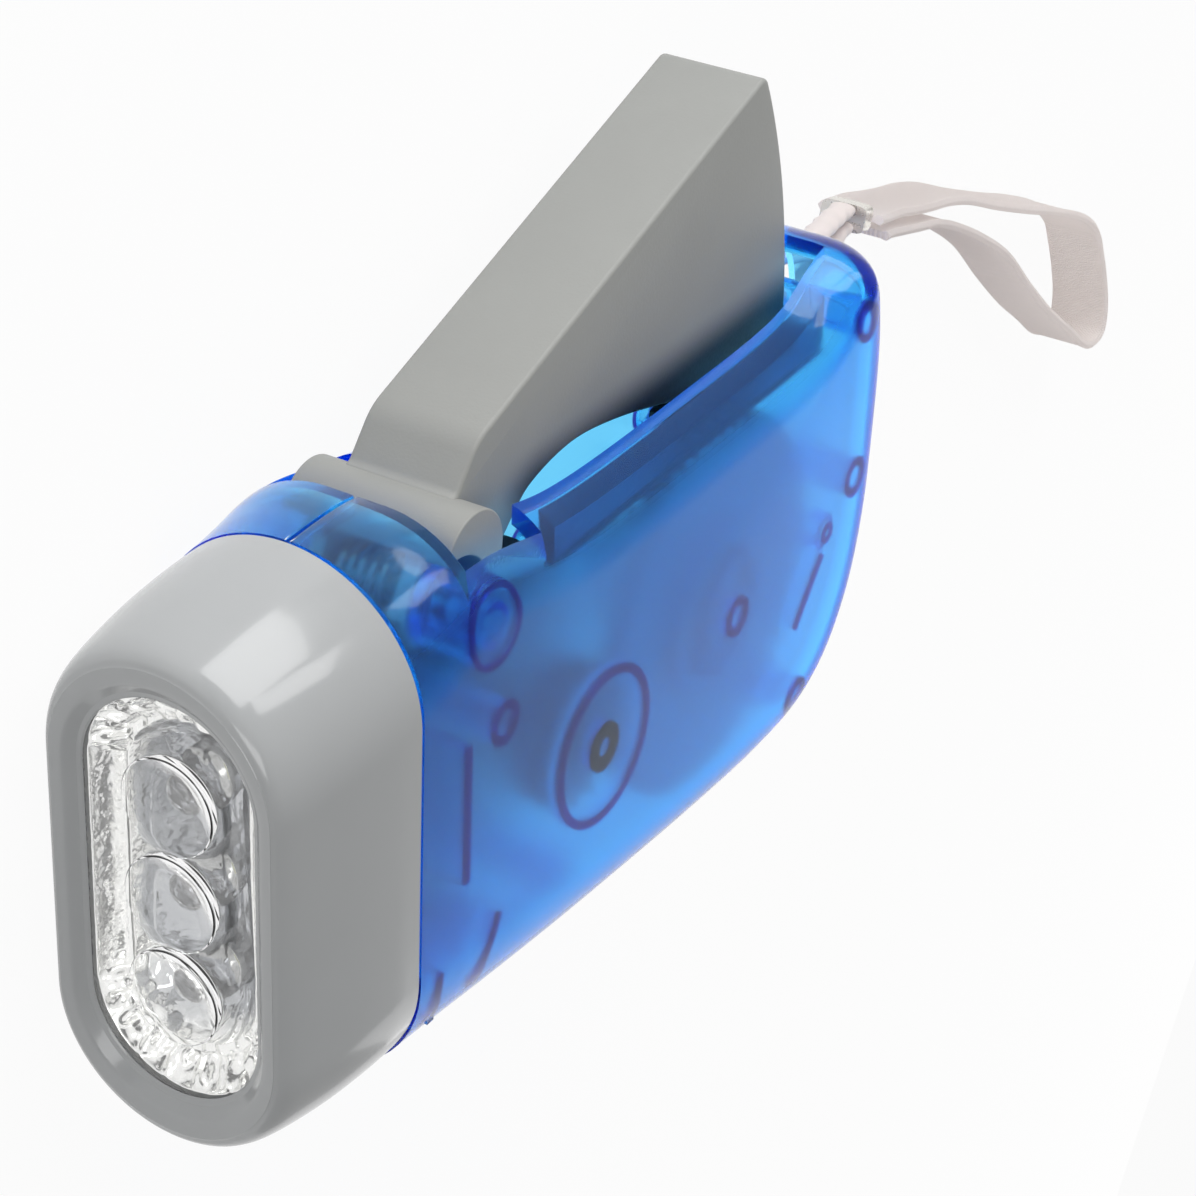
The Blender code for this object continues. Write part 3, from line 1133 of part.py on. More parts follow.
def drive_gear():
    """Large gear with the ratchet ring on its outer face."""
    low, high = DRIVE_FACE, DRIVE_FACE + DRIVE_THICKNESS
    bore = circle(PINION_CENTRE, DRIVE_HUB_RADIUS + RUNNING_GAP, ROUND_SIDES)
    gear = plate("gear", [gear_outline(PINION_CENTRE, DRIVE_TEETH, TRAIN_DEGREES), bore], low, high)
    ring_loops = [circle(PINION_CENTRE, RATCHET_RING_RADIUS, ROUND_SIDES), ratchet_outline()]
    ratchet = plate("ratchet", ring_loops, high - EMBED, high + RATCHET_RING_HEIGHT - SEAT_GAP)
    combine(gear, [ratchet], "UNION")
    return gear


def ratchet_pawl():
    """Two sprung arms on the pinion's hub, lying just inside the ratchet teeth."""
    low = DRIVE_FACE + DRIVE_THICKNESS + SEAT_GAP
    reach = RATCHET_RING_RADIUS - RATCHET_RING_WALL - RATCHET_TOOTH - SEAT_GAP
    hub = DRIVE_HUB_RADIUS + PAWL_ARM_WIDTH
    outline = []
    for turn in (0, 180):
        outline += arc(PINION_CENTRE, hub, turn - 80, turn + 60, 8)
        outline += [polar(PINION_CENTRE, reach - PAWL_ARM_WIDTH, turn + 62),
                    polar(PINION_CENTRE, reach, turn + 30), polar(PINION_CENTRE, reach, turn + 38),
                    polar(PINION_CENTRE, reach - PAWL_ARM_WIDTH / 2, turn + 74),
                    polar(PINION_CENTRE, hub + PAWL_ARM_WIDTH / 2, turn + 92)]
    bore = circle(PINION_CENTRE, DRIVE_HUB_RADIUS + PIN_GAP, ROUND_SIDES)
    return plate("pawl", [outline, bore], low, low + PAWL_THICKNESS)


def drive_axle():
    low = -INNER_SIDE + AXLE_SEAT
    high = DRIVE_TOP + AXLE_SEAT
    return post("axle", PINION_CENTRE, AXLE_RADIUS, low, high)


def flywheel():
    """Open cup that carries the ring magnet, with holes in its web and a long hub."""
    high = FLYWHEEL_HIGH
    web = high - FLYWHEEL_WEB
    inner = FLYWHEEL_INSIDE
    bore = SHAFT_RADIUS + RUNNING_GAP
    hub = FLYWHEEL_HUB_RADIUS
    step = FLYWHEEL_HUB_TOP - AXLE_SEAT
    profile = [(bore, FLYWHEEL_HUB_TOP), (HUB_END_RADIUS, FLYWHEEL_HUB_TOP), (hub, step), (hub, high),
               (FLYWHEEL_RADIUS, high), (FLYWHEEL_RADIUS, FLYWHEEL_LOW), (inner, FLYWHEEL_LOW),
               (inner, web), (bore, web), (bore, FLYWHEEL_HUB_TOP)]
    wheel = turned("flywheel", profile, world(*FLYWHEEL_CENTRE, 0), ROUND_SIDES + SMALL_SIDES)
    middle = (inner + hub) / 2
    hole_radius = (inner - hub) / 2 * FLYWHEEL_HOLE_SHARE
    for turn in range(45, 360, 90):
        hole = post(f"web_hole_{turn}", polar(FLYWHEEL_CENTRE, middle, turn), hole_radius,
                    web - OVERRUN / 2, high + OVERRUN / 2)
        combine(wheel, [hole], "DIFFERENCE")
    return wheel


def flywheel_pinion():
    gap_degrees = TRAIN_DEGREES + 180 + 180 / FLYWHEEL_PINION_TEETH
    outline = gear_outline(FLYWHEEL_CENTRE, FLYWHEEL_PINION_TEETH, gap_degrees)
    bore = circle(FLYWHEEL_CENTRE, FLYWHEEL_HUB_RADIUS + PIN_GAP, ROUND_SIDES)
    low = DRIVE_FACE - SEAT_GAP
    return plate("wheel_pinion", [outline, bore], low, low + FLYWHEEL_PINION_LENGTH)


def ring_magnet():
    outer = FLYWHEEL_INSIDE - PIN_GAP
    low = FLYWHEEL_LOW + SEAT_GAP
    return ring("magnet", FLYWHEEL_CENTRE, outer, outer - MAGNET_WALL, low, low + MAGNET_LENGTH,
                ROUND_SIDES + SMALL_SIDES)


def wheel_shaft():
    low = -INNER_SIDE + AXLE_SEAT
    high = FLYWHEEL_HUB_TOP + AXLE_SEAT
    return post("shaft", FLYWHEEL_CENTRE, SHAFT_RADIUS, low, high)


def claw_plate(name, face, claw_side, turn):
    """Steel star with four arms whose ends are bent over the coil as claws."""
    low, high = sorted((face, face + claw_side * CLAW_THICKNESS))
    centre = FLYWHEEL_CENTRE
    half = CLAW_ARM_WIDTH / 2
    root_turn = math.degrees(math.asin(half / CLAW_HUB_RADIUS))
    edge = math.degrees(math.asin(half / CLAW_RADIUS))
    outline = []
    for claw in range(CLAWS):
        angle = turn + 360 * claw / CLAWS
        outline += arc(centre, CLAW_RADIUS, angle - edge, angle + edge, 3)
        outline += arc(centre, CLAW_HUB_RADIUS, angle + root_turn,
                       angle + 360 / CLAWS - root_turn, 3)
    bore = circle(centre, STATOR_POST_RADIUS + PIN_GAP, ROUND_SIDES)
    star = plate(name, [outline, bore], low, high)
    outer = CLAW_RADIUS - PIN_GAP
    inner = CLAW_RADIUS - CLAW_THICKNESS
    middle = face + claw_side * CLAW_THICKNESS / 2
    claw_low, claw_high = sorted((middle, face + claw_side * CLAW_LENGTH))
    for claw in range(CLAWS):
        angle = turn + 360 * claw / CLAWS
        tip = arc(centre, outer, angle - edge * CLAW_TIP_SHARE, angle + edge * CLAW_TIP_SHARE, 3)
        tip += arc(centre, inner, angle + edge * CLAW_TIP_SHARE, angle - edge * CLAW_TIP_SHARE, 3)
        combine(star, [plate(f"{name}_claw_{claw}", [tip], claw_low, claw_high)], "UNION")
    return star


def bobbin():
    low = BOBBIN_LOW
    high = low + BOBBIN_LENGTH
    bore = STATOR_POST_RADIUS + PIN_GAP
    profile = [(bore, high), (BOBBIN_RADIUS, high), (BOBBIN_RADIUS, high - BOBBIN_FLANGE),
               (BOBBIN_CORE_RADIUS, high - BOBBIN_FLANGE), (BOBBIN_CORE_RADIUS, low + BOBBIN_FLANGE),
               (BOBBIN_RADIUS, low + BOBBIN_FLANGE), (BOBBIN_RADIUS, low), (bore, low), (bore, high)]
    return turned("bobbin", profile, world(*FLYWHEEL_CENTRE, 0))


def coil():
    low = BOBBIN_LOW + BOBBIN_FLANGE + PIN_GAP * 2
    high = BOBBIN_LOW + BOBBIN_LENGTH - BOBBIN_FLANGE - PIN_GAP * 2
    return ring("coil", FLYWHEEL_CENTRE, COIL_RADIUS, BOBBIN_CORE_RADIUS + PIN_GAP * 2, low, high)


def lead(offset):
    start = FLYWHEEL_CENTRE[0] - LEAD_START_INSET
    lift = FLYWHEEL_CENTRE[1] - LEAD_DROP + offset
    points = [world(BOARD_BACK + (start - BOARD_BACK) * way, lift, -INNER_SIDE * depth)
              for way, depth in LEAD_SHARES]
    return tube("lead", points, LEAD_RADIUS, 1, 2)


def slide_button():
    """Grey slide button: cap in the recess, stem through the slot, foot behind it."""
    start = RECESS_ALONGS[0] + SLIDE_GAP
    half = RECESS_WIDTH / 2 - SLIDE_GAP
    cap_foot = -CASE_HALF_HEIGHT + RECESS_DEPTH - SEAT_GAP
    cap_top = -CASE_HALF_HEIGHT - BUTTON_PROUD
    cap = block("cap", (start, start + BUTTON_LENGTH), (cap_top, cap_foot), (-half, half))
    edge = cap.modifiers.new("round", "BEVEL")
    edge.width = BUTTON_ROUND
    edge.segments = 2
    settle(cap)
    stem_start = start + STEM_FROM_END
    foot_low = -STEM_REACH - FOOT_HEIGHT
    stem = block("stem", (stem_start, stem_start + STEM_LENGTH), (cap_foot - EMBED, -STEM_REACH - SEAT_GAP),
                 (-STEM_WIDTH / 2, STEM_WIDTH / 2))
    foot = block("foot", (stem_start, stem_start + STEM_LENGTH), (foot_low, -STEM_REACH - SEAT_GAP),
                 (-FOOT_WIDTH / 2, FOOT_WIDTH / 2))
    combine(cap, [stem, foot], "UNION")
    for ridge in range(GRIP_RIDGES):
        place = start + BUTTON_LENGTH * (ridge + 1) / (GRIP_RIDGES + 1)
        groove = block(f"grip_{ridge}", (place - GRIP_RIDGE / 2, place + GRIP_RIDGE / 2),
                       (cap_top - OVERRUN, cap_top + GRIP_RIDGE), (-half - OVERRUN, half + OVERRUN))
        combine(cap, [groove], "DIFFERENCE")
    return cap


def slide_switch():
    half = SWITCH_HALF_WIDTH - SEAT_GAP * 2
    return block("switch", SWITCH_ALONGS, (-STEM_REACH, -STEM_REACH + SWITCH_HEIGHT), (-half, half))


def webbing():
    """Flat webbing that stands on its edge, doubled at the crimp, as a plain ribbon."""
    route = smooth_route([world(*point) for point in WEBBING_POINTS], 2)
    up = Vector((0, 0, WEBBING_WIDTH / 2))
    sections = []
    for i, spot in enumerate(route):
        ahead = route[min(i + 1, len(route) - 1)] - route[max(i - 1, 0)]
        side = Vector((-ahead.y, ahead.x, 0)).normalized() * WEBBING_THICKNESS / 2
        sections.append([spot + side + up, spot - side + up, spot - side - up, spot + side - up])
    return loft("webbing", sections)


def crimp():
    """Folded metal crimp that holds the cord's ends and the webbing's."""
    start, end = (world(*point) for point in CRIMP_POINTS)
    ahead = (end - start).normalized()
    start = start + ahead * SEAT_GAP
    side = ahead.cross(Vector((0, 0, 1))).normalized() * (CRIMP_CORE + CRIMP_WALL)
    up = Vector((0, 0, WEBBING_WIDTH / 2 + CRIMP_WALL))
    sections = [[spot + side + up, spot - side + up, spot - side - up, spot + side - up]
                for spot in (start, end - ahead * SEAT_GAP)]
    return loft("crimp", sections)


def build():
    hinge_axis = world(*HINGE, 0)
    pinion_axis = world(*PINION_CENTRE, 0)
    wheel_axis = world(*FLYWHEEL_CENTRE, 0)
    case_paint = material("translucent_blue", BLUE, 0.25, 0, 0.8)
    grey_paint = material("grey_plastic", GREY, 0.35)
    nylon = material("white_nylon", NYLON, 0.45)
    steel = material("steel", STEEL, 0.3, 1.0)
    black = material("black_plastic", BLACK, 0.4)
    finish(case_half(-1), "case_lower", case_paint)
    finish(case_half(1), "case_upper", case_paint.copy())
    finish(bezel(), "bezel", grey_paint)
    finish(pane(), "lens_window", material("clear_plastic", (0.9, 0.92, 0.93), 0.05, 0, 1.0))
    finish(reflector(), "reflector", material("metallised", (0.85, 0.85, 0.86), 0.08, 1.0))
    for row, label in ((1, "top"), (0, "middle"), (-1, "bottom")):
        finish(lamp(row), f"led_{label}", material(f"led_{label}", (0.9, 0.93, 0.95), 0.1, 0, 0.9))
    finish(lamp_board(), "lamp_board", material("circuit_board", (0.05, 0.25, 0.12), 0.5))
    finish(cell_stack(), "cell_stack", material("cell_sleeve", (0.08, 0.09, 0.30), 0.4))
    finish(rectifier(), "rectifier", black)
    finish(lever(), "lever", material("matte_grey_plastic", (0.38, 0.38, 0.36), 0.55), hinge_axis)
    finish(hinge_pin(), "hinge_pin", steel, hinge_axis)
    finish(return_spring(), "return_spring", material("spring_steel", (0.45, 0.45, 0.46), 0.25, 1.0),
           hinge_axis)
    finish(drive_pinion(), "drive_pinion", nylon, pinion_axis)
    finish(drive_gear(), "drive_gear", nylon.copy(), pinion_axis)
    finish(ratchet_pawl(), "ratchet_pawl", steel.copy(), pinion_axis)
    finish(drive_axle(), "drive_axle", steel.copy(), pinion_axis)
    finish(flywheel(), "flywheel", black.copy(), wheel_axis)
    finish(flywheel_pinion(), "flywheel_pinion", nylon.copy(), wheel_axis)
    finish(ring_magnet(), "ring_magnet", material("ferrite", (0.06, 0.06, 0.06), 0.5, 0.2), wheel_axis)
    finish(wheel_shaft(), "wheel_shaft", steel.copy(), wheel_axis)
    bright = material("tinned_steel", (0.75, 0.75, 0.74), 0.3, 1.0)
    finish(claw_plate("lower_claws", STATOR_FOOT, 1, CLAW_TURN_DEGREES), "claw_plate_lower", bright)
    upper_turn = CLAW_TURN_DEGREES + 180 / CLAWS
    finish(claw_plate("upper_claws", STATOR_FACE, -1, upper_turn), "claw_plate_upper", bright.copy())
    finish(bobbin(), "bobbin", nylon.copy())
    finish(coil(), "coil_winding", material("enamelled_copper", (0.72, 0.28, 0.12), 0.3, 1.0))
    finish(lead(LEAD_PITCH / 2), "lead_red", material("red_insulation", (0.6, 0.03, 0.03), 0.4))
    finish(lead(-LEAD_PITCH / 2), "lead_black", black.copy())
    finish(slide_button(), "slide_button", grey_paint.copy())
    finish(slide_switch(), "slide_switch", black.copy())
    white = material("white_cord", (0.85, 0.82, 0.80), 0.7)
    cord = tube("cord", [world(*point) for point in CORD_POINTS], CORD_RADIUS, 2, 2)
    finish(cord, "strap_cord", white)
    finish(crimp(), "strap_crimp", steel.copy())
    finish(webbing(), "strap_webbing", white.copy())


build()
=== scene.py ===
"""Squeeze dynamo torch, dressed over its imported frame. Lengths are in millimetres."""
import math

import bmesh
import bpy
import numpy as np
from mathutils import Matrix, Vector


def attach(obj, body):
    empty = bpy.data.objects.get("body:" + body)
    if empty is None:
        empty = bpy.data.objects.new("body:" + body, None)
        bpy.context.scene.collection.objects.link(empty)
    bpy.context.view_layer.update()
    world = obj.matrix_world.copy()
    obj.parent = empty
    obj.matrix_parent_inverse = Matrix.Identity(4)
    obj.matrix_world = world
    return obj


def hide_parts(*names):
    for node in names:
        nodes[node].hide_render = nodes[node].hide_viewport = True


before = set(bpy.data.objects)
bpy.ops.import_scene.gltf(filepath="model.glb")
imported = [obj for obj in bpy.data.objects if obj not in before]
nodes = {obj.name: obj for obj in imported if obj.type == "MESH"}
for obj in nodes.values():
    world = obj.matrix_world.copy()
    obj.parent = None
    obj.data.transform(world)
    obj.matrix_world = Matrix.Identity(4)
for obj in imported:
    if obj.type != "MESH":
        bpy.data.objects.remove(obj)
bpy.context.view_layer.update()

MM = 0.001
LENGTH = 104.4
HALF_WIDTH = 13.5
HALF_HEIGHT = 26.2
HEAD = 17.8
WALL = 1.8
INNER_SIDE = 11.7
PARTING = 0.1
HINGE = (30.2, 16.1)
PINION = (73.958, -4.582)
WHEEL = (49.202, -6.052)
BAR_GAP = 4.8
BAR_HEADING = 54.0
SPRING_HALF_WIDTH = 2.6
SPRING_WIRE = 0.3

# Posts and ribs on the inner wall, and the switch's recess in the belly
HEAD_POST = (31.9, 5.8)
TAIL_POST = (97.8, 0.0)
BELLY_POST = (88.5, -21.2)
CORNER_POST = (98.0, 17.2)
HEAD_RIB = ((26.2, -7.6), (26.2, 6.3))
NECK_RIB = ((22.4, -20.7), (22.4, -15.1))
BOARD_RIB = ((31.7, -14.0), (28.7, -20.4))
TAIL_RIB_END = (86.6, -12.4)
RECESS = ((26.2, 50.6), (-28.2, -23.6), (-4.4, 4.4))

# Outline of the case from the bezel round the tail: share of the length behind the bezel,
# lift as a share of the half height, edge radius as a share of the half width.
OUTLINE = (
    (0.0512, 1.004, 0.93), (0.1007, 0.996, 0.80), (0.1525, 0.962, 0.70), (0.2055, 0.908, 0.62),
    (0.2622, 0.850, 0.57), (0.3249, 0.810, 0.54), (0.4213, 0.790, 0.53), (0.5901, 0.786, 0.53),
    (0.7468, 0.792, 0.53), (0.8192, 0.826, 0.53), (0.8674, 0.905, 0.53), (0.9156, 0.948, 0.52),
    (0.9566, 0.900, 0.50), (0.9855, 0.760, 0.48), (0.9988, 0.540, 0.47), (1.0000, 0.200, 0.47),
    (0.9928, -0.210, 0.48), (0.9650, -0.550, 0.49), (0.9096, -0.820, 0.50), (0.8312, -0.975, 0.52),
    (0.7227, -1.024, 0.53), (0.5660, -1.020, 0.55), (0.3972, -1.004, 0.60), (0.2526, -1.000, 0.70),
    (0.1199, -1.002, 0.85))

CORD = (
    (126.4, 14.3, -4.6), (122.5, 15.1, -3.7), (118.0, 16.1, -2.5), (113.5, 17.1, -1.3),
    (109.0, 18.0, -0.4), (104.5, 18.8, 0.0), (101.0, 19.4, 0.0), (98.5, 20.2, 0.0),
    (96.6, 20.0, 0.0), (95.3, 18.8, 0.0), (94.9, 17.2, 0.0), (95.2, 15.6, 0.0),
    (96.3, 14.45, 0.0), (98.0, 14.0, 0.0), (101.0, 13.8, 0.0), (104.5, 13.7, 0.0),
    (109.0, 13.7, -0.4), (113.5, 13.7, -1.3), (118.0, 13.4, -2.5), (122.5, 12.9, -3.7),
    (126.2, 12.4, -4.6))
CRIMP = ((126.6, 13.4, -4.7), (130.0, 12.3, -5.4))
WEBBING = (
    (130.4, 12.2, -5.5), (135.2, 10.7, -6.4), (140.0, 9.1, -7.4), (146.0, 6.9, -8.4), (152.0, 4.9, -9.2),
    (158.0, 3.3, -9.5), (164.0, 1.2, -9.5), (172.0, -2.4, -9.5), (182.0, -6.6, -9.5),
    (192.0, -10.6, -9.5), (201.0, -14.8, -9.5), (206.0, -18.6, -9.5), (208.6, -22.8, -9.5),
    (210.8, -27.2, -9.5), (212.4, -31.6, -9.5), (212.4, -35.2, -9.5), (209.8, -36.2, -9.5),
    (205.8, -34.6, -9.5), (200.0, -30.2, -9.5), (193.0, -25.0, -9.5), (185.0, -18.2, -9.5),
    (176.8, -10.8, -9.5), (168.0, -5.0, -9.5), (160.0, -0.6, -9.5), (154.0, 2.1, -9.2),
    (147.8, 4.2, -8.4), (141.2, 6.5, -7.4), (136.0, 8.4, -6.4),
    (133.0, 9.3, -5.8))


def place(along, lift, across):
    """Along from the lip, lift from the mid line and across from the parting plane, to the frame."""
    along, lift, across = np.broadcast_arrays(along, lift, across)
    return np.stack([-lift, along - LENGTH / 2, across + HALF_WIDTH], -1) * MM


def aim_camera():
    """Camera 31.5 degrees round from the nose and 30.7 degrees over it, rolled by 1.6 degrees."""
    turn, rise, roll = (math.radians(value) for value in (31.5, 30.73, 1.63))
    aim, distance = np.array([52.0, 5.2, 0.0]), 305.92
    back = np.array([-math.cos(turn) * math.cos(rise), math.sin(rise), math.sin(turn) * math.cos(rise)])
    right = np.array([math.sin(turn), 0, math.cos(turn)])
    up = np.cross(back, right)
    right, up = (math.cos(roll) * right + math.sin(roll) * up,
                 math.cos(roll) * up - math.sin(roll) * right)
    spot = aim + back * distance
    axes = [Vector((-a[1], a[0], a[2])) for a in (right, up, back)]
    data = bpy.data.cameras.new("photo_camera")
    data.sensor_width = 36
    data.lens = 100.486
    data.shift_x = 0.0771
    data.shift_y = -0.0094
    data.clip_start = 0.01
    camera = bpy.data.objects.new("photo_camera", data)
    bpy.context.scene.collection.objects.link(camera)
    matrix = Matrix(axes).transposed().to_4x4()
    matrix.translation = Vector(place(*spot).tolist())
    camera.matrix_world = matrix
    bpy.context.scene.camera = camera


aim_camera()


def smooth(points, steps):
    """Catmull-Rom: each stretch is the cubic whose end slopes are the chords past its ends."""
    p = np.asarray(points, float)
    p = np.vstack([2 * p[0] - p[1], p, 2 * p[-1] - p[-2]])
    t = (np.arange(steps) / steps)[:, None, None]
    a, b, c, d = p[:-3], p[1:-2], p[2:-1], p[3:]
    run = 0.5 * (2 * b + (c - a) * t + (2 * a - 5 * b + 4 * c - d) * t ** 2
                 + (3 * b - a - 3 * c + d) * t ** 3)
    return np.vstack([run.transpose(1, 0, 2).reshape(-1, p.shape[1]), p[-2]])


def quads(rows, columns, close_rows=False, close_columns=False, start=0):
    """Four-cornered faces over points that are numbered row by row."""
    r = np.arange(rows if close_rows else rows - 1)[:, None]
    c = np.arange(columns if close_columns else columns - 1)[None, :]
    after, beside = (r + 1) % rows, (c + 1) % columns
    corners = np.broadcast_arrays(r * columns + c, r * columns + beside,
                                  after * columns + beside, after * columns + c)
    return (np.stack(corners, -1).reshape(-1, 4) + start).tolist()


def capped(rows, columns):
    """Faces of a closed tube of rows, with one flat face over each end."""
    last = (rows - 1) * columns
    ends = [list(range(columns)), list(range(last, last + columns))]
    return quads(rows, columns, False, True) + ends


def unit(vectors):
    """Vectors at length one."""
    return vectors / np.linalg.norm(vectors, axis=-1)[..., None]


def soften(mesh, degrees):
    """Smooth shading that breaks at edges sharper than this."""
    mesh.shade_smooth()
    mesh.set_sharp_from_angle(angle=math.radians(degrees))


def raw_piece(name, points, faces):
    """A mesh object from points and faces, its doubles merged and its faces turned outwards."""
    mesh = bpy.data.meshes.new(name)
    mesh.from_pydata(np.reshape(points, (-1, 3)).tolist(), [], faces)
    shape = bmesh.new()
    shape.from_mesh(mesh)
    bmesh.ops.remove_doubles(shape, verts=shape.verts, dist=1e-7)
    bmesh.ops.recalc_face_normals(shape, faces=shape.faces)
    shape.to_mesh(mesh)
    shape.free()
    thing = bpy.data.objects.new(name, mesh)
    bpy.context.scene.collection.objects.link(thing)
    return thing


def combine(thing, tools, operation):
    """Work Booleans into the mesh and drop the tools."""
    for tool in tools:
        step = thing.modifiers.new("combine", "BOOLEAN")
        step.operation = operation
        step.object = tool
        step.solver = "EXACT"
    settle(thing)
    for tool in tools:
        bpy.data.objects.remove(tool)
    return thing


def settle(thing):
    """Work the modifiers into the mesh."""
    graph = bpy.context.evaluated_depsgraph_get()
    mesh = bpy.data.meshes.new_from_object(thing.evaluated_get(graph))
    thing.modifiers.clear()
    thing.data = mesh
    mesh.name = thing.name
    return thing


def round_edges(thing, width, segments):
    """Round all edges that turn by more than 60 degrees."""
    edge = thing.modifiers.new("edge", "BEVEL")
    edge.width = width * MM
    edge.segments = segments
    edge.limit_method = "ANGLE"
    edge.angle_limit = math.radians(60)
    return settle(thing)


def dress(thing, finish, body="case", degrees=35, stands_for=()):
    """Give a piece its finish and its body, and hide the solids that it stands for."""
    thing.data.materials.clear()
    thing.data.materials.append(finish)
    soften(thing.data, degrees)
    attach(thing, body)
    if stands_for:
        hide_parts(*stands_for)
    return thing


def joined(name, parts):
    """One piece from several closed surfaces, each a pair of points and faces."""
    points, faces, count = [], [], 0
    for spots, cells in parts:
        spots = np.reshape(spots, (-1, 3))
        points.append(spots)
        faces += [[corner + count for corner in cell] for cell in cells]
        count += len(spots)
    return raw_piece(name, np.vstack(points), faces)


def turned(centre, profile, sides=64):
    """A closed profile of (radius, across) carried round an axis that runs across the torch."""
    turn = np.linspace(0, 2 * np.pi, sides, endpoint=False)[:, None]
    radius, across = np.asarray(profile, float).T
    points = place(centre[0] + np.cos(turn) * radius, centre[1] + np.sin(turn) * radius,
                   np.broadcast_to(across, (sides, len(across))))
    return points, quads(sides, len(radius), True, True)


def turned_along(lift, profile, sides=64, across=0.0):
    """A closed profile of (radius, along) carried round an axis that runs along the torch."""
    turn = np.linspace(0, 2 * np.pi, sides, endpoint=False)[:, None]
    radius, along = np.asarray(profile, float).T
    points = place(np.broadcast_to(along, (sides, len(along))), lift + np.sin(turn) * radius,
                   across + np.cos(turn) * radius)
    return points, quads(sides, len(radius), True, True)


def slab(outline, low, high):
    """An (along, lift) outline given a thickness across, with both ends closed."""
    outline = np.asarray(outline, float)
    count = len(outline)
    points = np.concatenate([place(outline[:, 0], outline[:, 1], level) for level in (low, high)])
    return points, capped(2, count)


def block(alongs, lifts, acrosses):
    """A box between three pairs of bounds."""
    (a, b), (c, d) = alongs, lifts
    return slab([(a, c), (b, c), (b, d), (a, d)], *acrosses)


def polar(centre, radius, degrees):
    """(along, lift) at a radius and heading from a centre."""
    angle = np.radians(degrees)
    return np.stack([centre[0] + radius * np.cos(angle), centre[1] + radius * np.sin(angle)], -1)


def arc(centre, radius, start, end, steps):
    return polar(centre, radius, np.linspace(start, end, steps + 1))


def obround(half_width, half_height, sides):
    """(lift, across) round an upright obround: two half circles on a straight middle."""
    angle = np.linspace(0, np.pi, sides + 1)
    straight = half_height - half_width
    across = half_width * np.cos(angle)
    lift = straight + half_width * np.sin(angle)
    return np.concatenate([lift, -lift]), np.concatenate([across, -across])


def obround_ring(profile, sides=72):
    """A closed profile of (along, half width, half height) carried round an obround."""
    rows = [place(along, *obround(width, height, sides)) for along, width, height in profile]
    return np.array(rows), quads(len(rows), rows[0].shape[0], True, True)


# Case
def case_rail(steps):
    """Outline places with edge radius, the edge's inset and the outward normal.

    The inset is the edge radius, held under 0.7 of the outline's own bend so that it never folds."""
    start = [HEAD + 0.2, HALF_HEIGHT, HALF_WIDTH * 0.985]
    end = [HEAD + 0.2, -HALF_HEIGHT, HALF_WIDTH * 0.985]
    middle = [(HEAD + a * (LENGTH - HEAD), l * HALF_HEIGHT, r * HALF_WIDTH) for a, l, r in OUTLINE]
    route = smooth([start, *middle, end], steps)
    spot = route[:, :2]
    ahead = np.gradient(spot, axis=0)
    bend = np.gradient(ahead, axis=0)
    speed = np.linalg.norm(ahead, axis=1)
    turning = np.abs(ahead[:, 0] * bend[:, 1] - ahead[:, 1] * bend[:, 0]) / speed ** 3
    inset = np.minimum(route[:, 2], 0.7 / np.maximum(turning, 1e-6))
    window = np.ones(2 * steps + 1) / (2 * steps + 1)
    inset = np.convolve(np.pad(inset, steps, mode="edge"), window, "valid")
    normal = np.stack([-ahead[:, 1], ahead[:, 0]], -1) / speed[:, None]
    normal[0], normal[-1] = (0, 1), (0, -1)
    return spot, route[:, 2], inset, normal


def case_skin(inset, steps=8, edge=16):
    """A skin set inwards by inset: flat at the parting plane, then round the edge to the side.

    Across follows the sine of the edge angle and the inset its cosine."""
    spot, radius, most, normal = case_rail(steps)
    angle = np.linspace(0, np.pi / 2, edge + 1)[None, :]
    inwards = inset + (most - inset)[:, None] * (1 - np.cos(angle))
    across = HALF_WIDTH - radius[:, None] + (radius - inset)[:, None] * np.sin(angle)
    if inset == 0:
        lip = [(0.22, PARTING), (0.06, PARTING + 0.08), (0.0, PARTING + 0.24)]
    else:
        lip = [(inset, PARTING)]
    count = len(spot)
    inwards = np.hstack([np.full((count, 1), value) for value, _ in lip] + [inwards])
    across = np.hstack([np.full((count, 1), value) for _, value in lip] + [across])
    along, lift = (spot[:, axis, None] - normal[:, axis, None] * inwards for axis in (0, 1))
    return along, lift, across


def case_shell(name, side):
    """Half of the case as a closed wall between two skins."""
    skins = []
    for inset in (0, WALL):
        along, lift, across = case_skin(inset)
        skins.append(place(along, lift, side * across))
    outer, inner = skins
    rows, wide, narrow = outer.shape[0], outer.shape[1], inner.shape[1]
    base = rows * wide
    faces = quads(rows, wide) + quads(rows, narrow, start=base)
    out = np.arange(base).reshape(rows, wide)
    into = base + np.arange(rows * narrow).reshape(rows, narrow)
    faces += [out[:, -1].tolist(), into[:, -1].tolist()]
    feet = np.stack([out[:-1, 0], out[1:, 0], into[1:, 0], into[:-1, 0]], -1)
    faces += feet.tolist()
    for end in (0, -1):
        faces.append(out[end].tolist() + into[end, ::-1].tolist())
    faces.append([out[0, -1], out[-1, -1], into[-1, -1], into[0, -1]])
    points = np.vstack([outer.reshape(-1, 3), inner.reshape(-1, 3)])
    return raw_piece(name, points, faces)


def case_core(inset, side):
    """The solid inside a skin, one half of it."""
    along, lift, across = case_skin(inset)
    rows, wide = along.shape
    grid = np.arange(rows * wide).reshape(rows, wide)
    faces = quads(rows, wide) + [grid[:, 0].tolist(), grid[:, -1].tolist(),
                                 grid[0].tolist() + grid[-1, ::-1].tolist()]
    return raw_piece("case_core", place(along, lift, side * across), faces)


def bar_centre(closed=0.0):
    """Centre of the lever's crossbar, with the lever closed by this many degrees."""
    return polar(HINGE, BAR_GAP, BAR_HEADING - closed)


